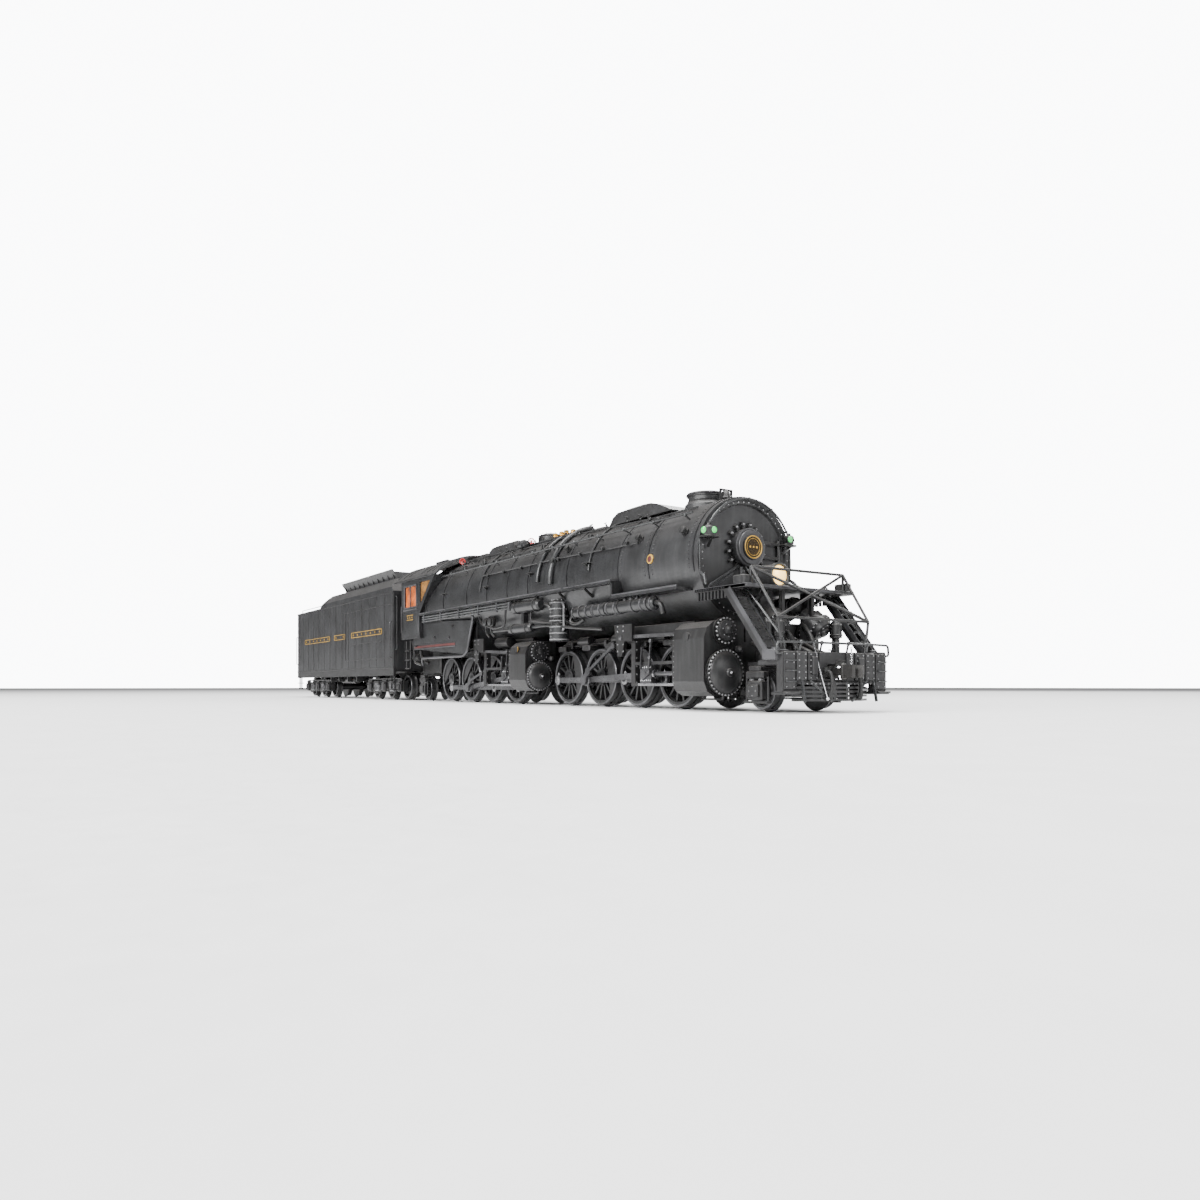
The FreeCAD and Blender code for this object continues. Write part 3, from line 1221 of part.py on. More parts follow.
deck = box("pilot_deck", ("deck_wide_back", "deck_front"), ("-deck_half_width", "deck_half_width"),
           ("deck_top - deck_thickness", "deck_top"))
deck_tongue = box("pilot_deck_tongue", ("deck_back", "deck_wide_back + 1"),
                  ("-deck_tongue_half", "deck_tongue_half"), ("deck_top - deck_thickness", "deck_top"))
beam = box("pilot_beam", ("deck_front", "deck_front + beam_thickness"),
           ("-deck_half_width", "deck_half_width"), ("beam_bottom", "beam_top"))
end_step = box("pilot_end_step", ("deck_front", "deck_front + beam_thickness"),
               ("-end_step_outer", "-end_step_inner"), ("end_step_bottom", "deck_top"))
step_tread = box("pilot_step_tread", ("deck_front - 3", "deck_front + beam_thickness + 2"),
                 ("-end_step_outer", "-end_step_inner"), ("end_step_bottom - 1", "end_step_bottom"))
deck_arm = box("deck_arm", ("front_frame_end", "deck_back + 4"), ("-bracket_half", "bracket_half"),
               ("deck_top", "bracket_top"))


def slat(index):
    """One level bar of the pilot, bent back at both ends."""
    low = "slat_bottom + slat_pitch * %d" % index
    front = "deck_front + slat_reach"
    return plate("pilot_slat_%d" % index, "XY_Plane", [
        ("deck_front + 0.6", "-slat_half_span"), (front, "-slat_half_span * 0.55"),
        (front, "slat_half_span * 0.55"), ("deck_front + 0.6", "slat_half_span"),
        ("deck_front + 0.6 - slat_width", "slat_half_span"), (front + " - slat_width", "slat_half_span * 0.53"),
        (front + " - slat_width", "-slat_half_span * 0.53"), ("deck_front + 0.6 - slat_width", "-slat_half_span"),
    ], (low, "%s + slat_thickness" % low))


slats = [slat(index) for index in range(int(size("slat_count")))]
ribs = [box("pilot_rib_%d" % index, ("deck_front + 0.8", "deck_front + slat_reach - 0.3"),
            ("slat_half_span * %s - 0.6" % share, "slat_half_span * %s + 0.6" % share),
            ("slat_bottom", "beam_bottom + 1"))
        for index, share in enumerate(("(-0.5)", "(-0.17)", "0.17", "0.5"))]
socket = box("front_coupler_socket", ("deck_front - 8", "deck_front + beam_thickness + 1"),
             ("-6.6", "6.6"),
             ("coupler_z - coupler_half_height - 0.5", "coupler_z + coupler_half_height + 0.5"))
pilot_solid = fuse("pilot_solid", [deck, deck_tongue, beam, end_step, mirrored(end_step), step_tread, mirrored(step_tread),
                                   deck_arm] + ribs + slats)
front_coupler_pin = cylinder("front_coupler_pin", "z", "truck_pin_radius",
                             ("coupler_z - coupler_half_height", "deck_top - 1"), x="coupler_pin_x")
sub_part("pilot", fuse("pilot", [cut("pilot_with_socket", pilot_solid, [socket]), front_coupler_pin]))


def coupler(name, pin_x, direction):
    """A coupler with an open jaw, a shank and an eye for its pin."""
    face = "%d * half_length" % direction

    def along(text):
        return "%s - %d * (%s)" % (face, direction, text)

    jaw = plate(name + "_jaw", "XY_Plane", [
        (along("0"), "-jaw_half_width"), (along("0"), "-jaw_half_width + 2"),
        (along("jaw_length - 3"), "-jaw_half_width + 3"), (along("jaw_length - 3"), "jaw_slot * 0.3"),
        (along("1.6"), "jaw_slot * 0.6"), (along("0"), "jaw_slot"), (along("1"), "jaw_half_width"),
        (along("jaw_length"), "jaw_half_width - 1"), (along("jaw_length"), "-jaw_half_width + 1"),
    ], ("coupler_z - coupler_half_height", "coupler_z + coupler_half_height"))
    if direction > 0:
        ends = [pin_x, along("jaw_length - 1")]
    else:
        ends = [along("jaw_length - 1"), pin_x]
    half = "coupler_half_height - 1"
    shank = box(name + "_shank", ends, ("-shank_half_width", "shank_half_width"),
                ("coupler_z - (%s)" % half, "coupler_z + %s" % half))
    eye = cylinder(name + "_eye", "z", "truck_pin_radius + 1.4",
                   ("coupler_z - (%s)" % half, "coupler_z + %s" % half), x=pin_x)
    bore = cylinder(name + "_bore", "z", "truck_pin_radius + fit_gap",
                    ("coupler_z - coupler_half_height - 1", "coupler_z + coupler_half_height + 1"), x=pin_x)
    return sub_part(name, cut(name, fuse(name + "_solid", [jaw, shank, eye]), [bore]))


coupler("front_coupler", "coupler_pin_x", 1)
coupler("rear_coupler", "-coupler_pin_x", -1)

platform_plate = box("platform_plate", ("platform_back", "platform_front"),
                     ("-platform_half_width", "platform_half_width"),
                     ("platform_top - platform_thickness", "platform_top"))
platform_post = box("platform_post", ("stair_top_x - post_half", "stair_top_x + post_half * 3"),
                    ("-post_y - post_half", "-post_y + post_half"), ("deck_top", "platform_top - 1"))
STAIR_LOW_Z = "deck_top"
STAIR_HIGH_Z = "platform_top - platform_thickness"


def stringer(index, y):
    """One sloping side of the right-hand stairs."""
    return plate("stair_stringer_%d" % index, "XZ_Plane", [
        ("stair_top_x - stringer_depth", STAIR_HIGH_Z), ("stair_top_x + 1", STAIR_HIGH_Z),
        ("stair_bottom_x + 1", STAIR_LOW_Z), ("stair_bottom_x - stringer_depth", STAIR_LOW_Z),
    ], (y, "%s + stringer_width" % y))


def tread(index):
    """One step of the right-hand stairs."""
    share = (index + 1) / (size("tread_count") + 1)
    x = "stair_top_x + (stair_bottom_x - stair_top_x) * %.4f" % share
    z = "%s - (%s - %s) * %.4f" % (STAIR_HIGH_Z, STAIR_HIGH_Z, STAIR_LOW_Z, share)
    return box("stair_tread_%d" % index, ("%s - tread_depth * 0.6" % x, "%s + tread_depth * 0.4" % x),
               ("-stair_outer + stringer_width", "-stair_inner - stringer_width"),
               (z, "%s + tread_thickness" % z))


stair_pieces = [stringer(0, "-stair_outer"), stringer(1, "-stair_inner - stringer_width")]
stair_pieces += [tread(index) for index in range(int(size("tread_count")))]
right_stair = fuse("right_stair", stair_pieces)
sub_part("front_platform", fuse("front_platform", [
    platform_plate, platform_post, mirrored(platform_post), right_stair, mirrored(right_stair)]))


def railing():
    """Posts, bars and cross braces round the pilot deck."""
    radius = size("rail_radius")
    rail_y = size("rail_y")
    low = (size("low_rail_x"), size("low_rail_top"))
    low_y = rail_y * size("low_rail_share")
    foot_y = rail_y * size("low_post_share")
    high = (size("high_rail_x"), size("high_rail_top"))
    deck_z = size("deck_top") + radius * size("post_lean")
    platform_z = size("platform_top")
    bars = []
    for side in (-1, 1):
        y = side * rail_y
        bars.append(((low[0], side * foot_y, deck_z), (low[0], side * low_y, low[1])))
        bars.append(((high[0], y, platform_z), (high[0], y, high[1])))
        bars.append(((low[0], side * low_y, low[1]), (high[0], y, high[1])))
        bars.append(((low[0], side * low_y, low[1]), (high[0], -y, high[1])))
    bars.append(((low[0], -low_y, low[1]), (low[0], low_y, low[1])))
    bars.append(((high[0], -rail_y, high[1]), (high[0], rail_y, high[1])))
    return [strut("railing_bar_%d" % index, radius, *bar) for index, bar in enumerate(bars)]


sub_part("pilot_railing", fuse("pilot_railing", railing()))

headlight_body = turned("headlight_body", "x", [
    ("headlight_back", "0"), ("headlight_back + 1", "headlight_radius - 2"),
    ("headlight_back + 3", "headlight_radius - 0.5"), ("headlight_front - 2", "headlight_radius - 0.5"),
    ("headlight_front - 2", "headlight_radius"), ("headlight_front", "headlight_radius"),
    ("headlight_front", "headlight_bowl"), ("headlight_front - headlight_bowl_depth", "headlight_bowl * 0.5"),
    ("headlight_front - headlight_bowl_depth", "0"),
], z="headlight_z")
headlight_foot = box("headlight_foot_block", ("headlight_back + 3", "headlight_front - 3"),
                     ("-headlight_foot", "headlight_foot"), ("platform_top", "headlight_z - 4"))
sub_part("headlight", fuse("headlight", [headlight_body, headlight_foot]))


# ---------------------------------------------------------------- drawbar and tender

drawbar_span = ("drawbar_z", "drawbar_z + drawbar_thickness")
drawbar_bar = box("drawbar_bar", ("tender_pin_x", "drawbar_pin_x"),
                  ("-drawbar_half_width", "drawbar_half_width"), drawbar_span)
drawbar_eyes = [cylinder("drawbar_eye_%d" % index, "z", "drawbar_half_width + 0.8", drawbar_span, x=x)
                for index, x in enumerate(("drawbar_pin_x", "tender_pin_x"))]
drawbar_bores = [cylinder("drawbar_bore_%d" % index, "z", "drawbar_pin_radius + fit_gap",
                          ("drawbar_z - 1", "drawbar_z + drawbar_thickness + 1"), x=x)
                 for index, x in enumerate(("drawbar_pin_x", "tender_pin_x"))]
sub_part("drawbar", cut("drawbar", fuse("drawbar_solid", [drawbar_bar] + drawbar_eyes), drawbar_bores))

tender_floor = box("tender_floor", ("tender_back", "tender_front"),
                   ("-tender_half_width", "tender_half_width"), ("tender_floor_bottom", "tender_floor_top"))
sill = box("tender_sill", ("tender_back", "tender_front"),
           ("-tender_half_width", "sill_thickness - tender_half_width"), ("sill_bottom", "tender_floor_bottom + 1"))
end_beam = box("tender_end_beam", ("tender_back", "tender_back + 5.5"),
               ("-coupler_pocket_half", "coupler_pocket_half"), ("coupler_z - 4", "tender_floor_bottom + 1"))
end_socket = box("rear_coupler_socket", ("tender_back - 1", "tender_back + 6"), ("-6.6", "6.6"),
                 ("coupler_z - coupler_half_height - 0.5", "coupler_z + coupler_half_height + 0.5"))
coupler_lug = cylinder("rear_coupler_pin", "z", "truck_pin_radius",
                       ("coupler_z - coupler_half_height", "tender_floor_bottom + 1"), x="-coupler_pin_x")
tender_drawbar_pin = cylinder("tender_drawbar_pin", "z", "drawbar_pin_radius",
                              ("drawbar_pin_bottom", "tender_floor_bottom + 1"), x="tender_pin_x")
truck_pins = [cylinder("tender_%s_truck_pin" % truck, "z", "truck_pin_radius",
                       ("bolster_top - 4", "tender_floor_bottom + 1"), x="tender_%s_truck_x" % truck)
              for truck in ("front", "rear")]
center_plates = [cylinder("tender_%s_center_plate" % truck, "z", "center_plate_radius",
                          ("bolster_top + clearance", "tender_floor_bottom + 1"), x="tender_%s_truck_x" % truck)
                 for truck in ("front", "rear")]
underframe_solid = fuse("underframe_solid", [tender_floor, sill, mirrored(sill), tender_drawbar_pin]
                        + truck_pins + center_plates)
sub_part("tender_underframe", fuse("tender_underframe", [
    underframe_solid, cut("tender_end_beam_open", end_beam, [end_socket]), coupler_lug]))


def tank_end_view():
    """The tender's end view: flat sides, rounded shoulders, flat crown."""
    right = [("-tender_half_width", "tender_floor_top"), ("-tender_half_width", "tank_side_top"),
             ("-tender_half_width + 0.7", "tank_side_top + 3.6"), ("-shoulder_y", "shoulder_z - 1"),
             ("-(shoulder_y + crown_y) / 2 - 1", "crown_z - 1.6"), ("-crown_y", "crown_z")]
    left = [("-(%s)" % y, z) for y, z in reversed(right)]
    return right + left


tank_length = plate("tank_length", "YZ_Plane", tank_end_view(), ("tender_back", "tender_front"))
tank_side = plate("tank_side", "XZ_Plane", [
    ("tender_back", "tender_floor_top"), ("tender_front", "tender_floor_top"), ("tender_front", "tank_side_top"),
    ("slope_x", "crown_z + 1"), ("arch_x", "crown_z + 1"), ("arch_x - 8", "crown_z - 0.8"),
    ("arch_x - 16", "crown_z - 4"), ("deck_step_x + 3", "tank_side_top + 3"), ("deck_step_x", "tank_side_top"),
    ("tender_back", "tank_side_top"),
], ("-tender_half_width - 1", "tender_half_width + 1"))
tank_hollow = box("tank_hollow", ("tender_back + tank_wall", "tender_front - tank_wall"),
                  ("tank_wall - tender_half_width", "tender_half_width - tank_wall"),
                  ("tender_floor_top - 1", "tank_side_top - tank_wall"))
bunker = box("coal_bunker", ("bunker_back", "bunker_front"), ("-bunker_half_width", "bunker_half_width"),
             ("bunker_floor", "crown_z + 2"))
tank_shell = cut("tank_shell", common("tank_form", [tank_length, tank_side]), [tank_hollow, bunker])
board = plate("coal_board", "YZ_Plane", [
    ("-bunker_half_width - board_thickness", "crown_z - 3"), ("-bunker_half_width", "crown_z - 3"),
    ("-bunker_half_width", "crown_z + 1"), ("-bunker_half_width - board_flare", "board_top"),
    ("-bunker_half_width - board_flare - board_thickness", "board_top"),
    ("-bunker_half_width - board_thickness", "crown_z + 1"),
], ("bunker_back - 6", "bunker_front + 6"))
end_boards = [box("coal_end_board_%d" % index, (x, x + " + board_thickness"),
                  ("-bunker_half_width - 1", "bunker_half_width + 1"), ("crown_z - 3", "board_top - 1"))
              for index, x in enumerate(("bunker_back - 1", "bunker_front"))]
sub_part("tender_tank", fuse("tender_tank", [tank_shell, board, mirrored(board)] + end_boards))

sub_part("coal_load", plate("coal_load", "XZ_Plane", [
    ("bunker_back + 0.3", "bunker_floor"), ("bunker_front - 0.3", "bunker_floor"),
    ("bunker_front - 0.3", "coal_dip"), ("bunker_front - 30", "coal_top"), ("bunker_front - 60", "coal_dip + 2"),
    ("bunker_back + 28", "coal_top - 1"), ("bunker_back + 0.3", "coal_dip"),
], ("-board_half_width", "board_half_width")))

circuit = box("circuit_board", ("control_board_back", "control_board_front"), ("-20", "20"),
              ("control_board_z", "control_board_z + control_board_thickness"))
standoffs = [box("standoff_%d_%d" % (i, j), (x, x + " + standoff_half * 2"), (y, y + " + standoff_half * 2"),
                 ("tender_floor_top", "control_board_z + 0.2"))
             for i, x in enumerate(("control_board_back", "control_board_front - standoff_half * 2"))
             for j, y in enumerate(("-20", "20 - standoff_half * 2"))]
chips = [box("chip_%d" % index,
             ("control_board_back + %d" % (8 + 20 * index), "control_board_back + %d" % (20 + 20 * index)),
             ("-8", "8"), ("control_board_z + 1", "control_board_z + 4.5")) for index in range(3)]
control_board = fuse("control_board", [circuit] + standoffs + chips)
speaker = turned("speaker", "z", [
    ("tender_floor_top", "0"), ("tender_floor_top", "speaker_radius"),
    ("tender_floor_top + speaker_height * 0.3", "speaker_radius"),
    ("tender_floor_top + speaker_height * 0.6", "speaker_radius * 0.55"),
    ("tender_floor_top + speaker_height", "speaker_radius * 0.5"), ("tender_floor_top + speaker_height", "0"),
], x="speaker_x")
sub_part("sound_unit", group("sound_unit", [control_board, speaker]))


def tender_truck(which):
    """A six-wheel truck: side frames, two cross bars and a bridge with the centre bearing."""
    label = "tender_%s_truck" % which
    centre = "tender_%s_truck_x" % which
    pitch = "tender_axle_spacing"
    end = "%s + side_frame_overhang" % pitch
    z = "tender_wheel_radius + flange_depth"
    side = plate(label + "_side", "XZ_Plane", [
        ("%s - (%s)" % (centre, end), "side_frame_bottom"), ("%s - %s + 6" % (centre, pitch), "side_frame_bottom"),
        ("%s - %s * 0.6" % (centre, pitch), "side_frame_dip"), ("%s - 8" % centre, "side_frame_bottom"),
        ("%s + 8" % centre, "side_frame_bottom"), ("%s + %s * 0.6" % (centre, pitch), "side_frame_dip"),
        ("%s + %s - 6" % (centre, pitch), "side_frame_bottom"), ("%s + %s" % (centre, end), "side_frame_bottom"),
        ("%s + %s" % (centre, end), "side_frame_top"), ("%s - (%s)" % (centre, end), "side_frame_top"),
    ], ("-side_frame_front", "-side_frame_back"))
    bars = [box("%s_bar_%d" % (label, index),
                ("%s + %s - cross_bar_half" % (centre, offset), "%s + %s + cross_bar_half" % (centre, offset)),
                ("-side_frame_back - 1", "side_frame_back + 1"), ("cross_bar_bottom", "bolster_bottom + 1"))
            for index, offset in enumerate(("(-bolster_half_length)", "bolster_half_length"))]
    bridge = box(label + "_bridge", ("%s - bolster_half_length - cross_bar_half" % centre,
                                     "%s + bolster_half_length + cross_bar_half" % centre),
                 ("-bolster_half_width", "bolster_half_width"), ("bolster_bottom", "bolster_top"))
    bores = [cylinder("%s_journal_bore_%d" % (label, axle), "y", "journal_radius + fit_gap",
                      ("-journal_end - 0.3", "journal_end + 0.3"),
                      x="%s + %s * %d" % (centre, pitch, axle - 1), z=z) for axle in range(3)]
    bores.append(cylinder(label + "_pin_bore", "z", "truck_pin_radius + fit_gap",
                          ("bolster_top - 5", "bolster_top + 1"), x=centre))
    solid = fuse(label + "_solid", [side, mirrored(side), bridge] + bars)
    sub_part(label, cut(label, solid, bores))


for truck in ("front", "rear"):
    tender_truck(truck)


# ---------------------------------------------------------------- checks and export

doc.recompute()
for feature in doc.Objects:
    if "Invalid" in feature.State or "Error" in feature.State:
        raise RuntimeError("%s did not build: %s" % (feature.Name, feature.State))
for label, feature in sub_parts.items():
    if feature.Shape.isNull() or not feature.Shape.isValid() or not feature.Shape.Solids:
        raise RuntimeError("%s has no valid solid" % label)

os.makedirs("parts", exist_ok=True)
for label, feature in sub_parts.items():
    feature.Shape.exportStep("parts/%s.step" % label)
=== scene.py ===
import json
import math
import random

import bmesh
import bpy
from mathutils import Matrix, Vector


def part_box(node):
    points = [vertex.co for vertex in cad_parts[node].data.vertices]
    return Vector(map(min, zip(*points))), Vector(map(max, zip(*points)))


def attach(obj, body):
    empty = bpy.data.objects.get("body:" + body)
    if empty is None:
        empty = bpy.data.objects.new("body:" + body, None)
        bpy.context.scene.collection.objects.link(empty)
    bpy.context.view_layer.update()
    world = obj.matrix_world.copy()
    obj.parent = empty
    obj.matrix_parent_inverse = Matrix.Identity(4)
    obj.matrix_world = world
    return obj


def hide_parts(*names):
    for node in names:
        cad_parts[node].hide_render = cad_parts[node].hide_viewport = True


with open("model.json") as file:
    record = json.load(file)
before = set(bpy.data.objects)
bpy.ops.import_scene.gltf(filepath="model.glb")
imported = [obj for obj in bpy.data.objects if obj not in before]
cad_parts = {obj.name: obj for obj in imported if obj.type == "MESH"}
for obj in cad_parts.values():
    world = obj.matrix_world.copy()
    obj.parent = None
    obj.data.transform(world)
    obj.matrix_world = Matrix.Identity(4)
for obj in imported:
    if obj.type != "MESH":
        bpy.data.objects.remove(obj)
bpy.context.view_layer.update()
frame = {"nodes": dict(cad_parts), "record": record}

# Lengths are millimetres in the row frame (+X forward, +Y the left side, +Z up) and become metres in Piece.
MM = 0.001
SIDES = (-1, 1)
BOILER_Z = 69.7
BOILER_R = 31.4
SMOKEBOX_R = 29.2
TAPER_START, TAPER_END = 190.0, 236.0
PLATE_X = 299.0
DOOR_Z = 75.0
STACK_X = 270.5
BELL_X = 285.0
STEAM_DOME_X = 120.5
HANDRAIL_Y = 27.8
HEATER_Y, HEATER_Z = 31.2, 50.4
COMPRESSOR_X, COMPRESSOR_Y = 179.0, 29.0
ASH_PAN_Y = 31.5
ROOF_R, ROOF_Z = 47.8, 58.0
BEAM_TOP = 24.9
HEADLIGHT_Z = 60.4
STAIR_TOP, STAIR_FOOT = (324.2, 52.4), (348.6, 22.4)
STEP_GRIP, STEP_FOOT = (304.6, 5.4, 65.4), (347.0, 27.0, 39.4)
COUPLER_X = 357.0
TENDER_WALL = 33.0
TENDER_TRUCKS = (("tender_front_truck", -111.0), ("tender_rear_truck", -303.0))
AXLE_PITCH = 35.0
DRIVER_PITCH = 33.333
CRANK_THROW = 8.47
MAIN_DRIVERS = (("front", 205.34, 192.0), ("rear", 42.84, 315.0))
LEFT_CRANK_LEAD = 90.0
DRIVER_Z = 16.2
CYLINDER_Y = 25.2
CYLINDER_Z = 17.0
AXIS_INDEX = {"x": 0, "y": 1, "z": 2}
X_WAY, Y_WAY, Z_WAY = (1, 0, 0), (0, 1, 0), (0, 0, 1)
dice = random.Random(48)


def millimetres(node):
    """The low and high corner of a CAD node's box."""
    low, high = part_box(node)
    return [v / MM for v in low], [v / MM for v in high]


# ---------------------------------------------------------------- materials


def wire(tree, source, target):
    """Links two sockets."""
    tree.links.new(source, target)


def noise(tree, coordinates, stretch, scale, detail):
    """A noise texture on stretched coordinates."""
    mapping = tree.nodes.new("ShaderNodeMapping")
    mapping.inputs["Scale"].default_value = stretch
    wire(tree, coordinates, mapping.inputs["Vector"])
    texture = tree.nodes.new("ShaderNodeTexNoise")
    texture.inputs["Scale"].default_value = scale
    texture.inputs["Detail"].default_value = detail
    wire(tree, mapping.outputs["Vector"], texture.inputs["Vector"])
    return texture.outputs["Fac"]


def spread(tree, value, low, high, start=0.35, end=0.65):
    """Maps the middle of a noise to the range low to high."""
    node = tree.nodes.new("ShaderNodeMapRange")
    node.inputs["From Min"].default_value = start
    node.inputs["From Max"].default_value = end
    node.inputs["To Min"].default_value = low
    node.inputs["To Max"].default_value = high
    wire(tree, value, node.inputs["Value"])
    return node.outputs["Result"]


def mixed(tree, factor, first, second):
    """A blend of two colours or colour sockets."""
    node = tree.nodes.new("ShaderNodeMix")
    node.data_type = "RGBA"
    wire(tree, factor, node.inputs["Factor"])
    for socket, value in ((node.inputs[6], first), (node.inputs[7], second)):
        if isinstance(value, tuple):
            socket.default_value = (*value, 1.0)
        else:
            wire(tree, value, socket)
    return node.outputs[2]


def surface(name, colour, rough, metal=0.0, slot=None, dust=0.0, streaks=0.25, grain=2600.0,
            bump=0.12, glow=0.0, coat=0.0, contrast=0.3):
    """A painted, metal, cast or glowing finish: blotches, run-down streaks, dust on top and a fine grain."""
    material = bpy.data.materials.new(name)
    material.use_nodes = True
    tree = material.node_tree
    shader = tree.nodes["Principled BSDF"]
    coordinates = tree.nodes.new("ShaderNodeTexCoord").outputs["Object"]
    blotch = noise(tree, coordinates, (1, 1, 1), 70.0, 6.0)
    runs = noise(tree, coordinates, (9, 9, 0.7), 60.0, 3.0)
    fine = noise(tree, coordinates, (1, 1, 1), grain, 3.0)
    dark = tuple(v * (1 - contrast) for v in colour)
    pale = tuple(v * (1 + contrast) for v in colour)
    shade = mixed(tree, spread(tree, blotch, 0.0, 1.0), dark, pale)
    washed = tuple(v * 0.6 + 0.05 for v in colour)
    shade = mixed(tree, spread(tree, runs, 0.0, streaks, 0.5, 0.75), shade, washed)
    if dust:
        normal = tree.nodes.new("ShaderNodeNewGeometry").outputs["Normal"]
        parts = tree.nodes.new("ShaderNodeSeparateXYZ")
        wire(tree, normal, parts.inputs["Vector"])
        lying = spread(tree, parts.outputs["Z"], 0.0, dust, 0.3, 1.0)
        shade = mixed(tree, lying, shade, (0.16, 0.15, 0.14))
    wire(tree, shade, shader.inputs["Base Color"])
    wire(tree, spread(tree, fine, max(rough - 0.09, 0.04), rough + 0.09), shader.inputs["Roughness"])
    shader.inputs["Metallic"].default_value = metal
    shader.inputs["Coat Weight"].default_value = coat
    relief = tree.nodes.new("ShaderNodeBump")
    relief.inputs["Strength"].default_value = bump
    relief.inputs["Distance"].default_value = 0.0001
    wire(tree, fine, relief.inputs["Height"])
    wire(tree, relief.outputs["Normal"], shader.inputs["Normal"])
    if glow:
        wire(tree, shade, shader.inputs["Emission Color"])
        shader.inputs["Emission Strength"].default_value = glow
    material["slot"] = slot or ""
    return material


BOILER = surface("boiler_paint", (0.011, 0.0113, 0.012), 0.36, slot="boiler_black", dust=0.22,
    contrast=0.45)
SMOKEBOX = surface("smokebox_paint", (0.017, 0.0172, 0.018), 0.40, slot="smokebox_black", dust=0.2,
    contrast=0.45)
CHASSIS = surface("chassis_paint", (0.007, 0.007, 0.0072), 0.40, slot="chassis_black", dust=0.3,
    contrast=0.5)
FRONT = surface("front_end_paint", (0.011, 0.011, 0.0115), 0.40, slot="front_end_black", dust=0.3,
    contrast=0.45)
TENDER = surface("tender_paint", (0.011, 0.0112, 0.012), 0.40, slot="tender_black", streaks=0.5, dust=0.25,
    contrast=0.45)
RODS = surface("rod_steel", (0.085, 0.085, 0.088), 0.34, 0.75, slot="rod_steel", streaks=0.15, contrast=0.4)
WHEELS = surface("wheel_paint", (0.010, 0.010, 0.0105), 0.40, slot="wheel_metal", streaks=0.1,
    contrast=0.45)
TYRES = surface("tyre_steel", (0.13, 0.13, 0.135), 0.36, 0.9, slot="wheel_metal", streaks=0.1)
COUPLER = surface("coupler_cast_steel", (0.026, 0.025, 0.024), 0.5, 0.4, slot="coupler_steel", bump=0.4)
BRASS = surface("polished_brass", (0.70, 0.42, 0.10), 0.24, 1.0, slot="brass", streaks=0.05, contrast=0.15)
BACKHEAD = surface("backhead_paint", (0.030, 0.032, 0.030), 0.5, slot="backhead_paint")
COAL = surface("coal_lumps", (0.008, 0.008, 0.0085), 0.30, slot="coal", grain=900.0, bump=0.9, contrast=0.6)
MOTOR = surface("motor_can_steel", (0.42, 0.42, 0.43), 0.35, 0.9, slot="motor_metal")
SMOKE_UNIT = surface("smoke_unit_plastic", (0.05, 0.045, 0.04), 0.55, slot="smoke_unit_plastic")
SOUND_UNIT = surface("sound_unit_plastic", (0.03, 0.03, 0.03), 0.5, slot="sound_unit_plastic")
# Paler paint on rims, trims, frames and edges: partly edge wear, partly a painted highlight where edges
# catch the light.
EDGE_WEAR_AND_HIGHLIGHT = surface("edge_wear_and_painted_highlight", (0.050, 0.050, 0.053), 0.38, 0.3, streaks=0.3, contrast=0.4)
RAIL = surface("handrail_wire", (0.034, 0.035, 0.036), 0.32, 0.3, streaks=0.1)
BOLTS = surface("bolt_steel", (0.20, 0.20, 0.205), 0.28, 0.6, streaks=0.1)
MACHINED = surface("machined_steel", (0.34, 0.34, 0.35), 0.26, 0.95, streaks=0.1, contrast=0.2)
BRIGHT = surface("bright_steel", (0.62, 0.62, 0.64), 0.18, 1.0, streaks=0.05, contrast=0.1)
GOLD = surface("gold_paint", (0.46, 0.27, 0.045), 0.38, 0.35, streaks=0.1, contrast=0.2)
RED = surface("red_handwheel_paint", (0.42, 0.012, 0.010), 0.35, streaks=0.05, contrast=0.2)
RED_STRIP = surface("red_lining_paint", (0.055, 0.008, 0.007), 0.45, streaks=0.3, contrast=0.35)
HOSE = surface("hose_rubber", (0.007, 0.007, 0.007), 0.62, streaks=0.0, bump=0.5)
GREEN_GLASS = surface("green_lamp_glass", (0.03, 0.42, 0.08), 0.08, glow=1.5, coat=0.6, streaks=0.0)
LAMP_GLASS = surface("warm_lamp_glass", (1.0, 0.66, 0.22), 0.10, glow=3.2, coat=0.6, streaks=0.0,
    contrast=0.15)
CAB_GLOW = surface("cab_window_glow", (0.30, 0.066, 0.014), 0.2, glow=0.5, streaks=0.4, contrast=0.7)
AMBER = surface("amber_window_glow", (0.16, 0.075, 0.02), 0.2, glow=0.35, streaks=0.2, contrast=0.8)
PLATE_GLASS = surface("number_plate_enamel", (0.035, 0.022, 0.008), 0.22, coat=0.5, streaks=0.0)
FLOOR = surface("pale_floor", (0.86, 0.86, 0.86), 0.70, streaks=0.0, contrast=0.02, bump=0.02, grain=400.0)

SLOT_FINISH = {m["slot"]: m for m in (
    BOILER, SMOKEBOX, CHASSIS, FRONT, TENDER, RODS, WHEELS, COUPLER, BRASS, BACKHEAD, COAL, MOTOR,
    SMOKE_UNIT, SOUND_UNIT)}


def dress_cad_nodes():
    """Every carried-over CAD node gets the finish of its material slot."""
    for node in frame["nodes"].values():
        for i, old in enumerate(node.data.materials):
            node.data.materials[i] = SLOT_FINISH[old.name.split(".")[0]]


# ---------------------------------------------------------------- mesh pieces


def chamfered(low, high, cut):
    """The outline of a rectangle with its four corners cut."""
    (a, b), (c, d) = low, high
    return [(a + cut, b), (c - cut, b), (c, b + cut), (c, d - cut),
            (c - cut, d), (a + cut, d), (a, d - cut), (a, b + cut)]


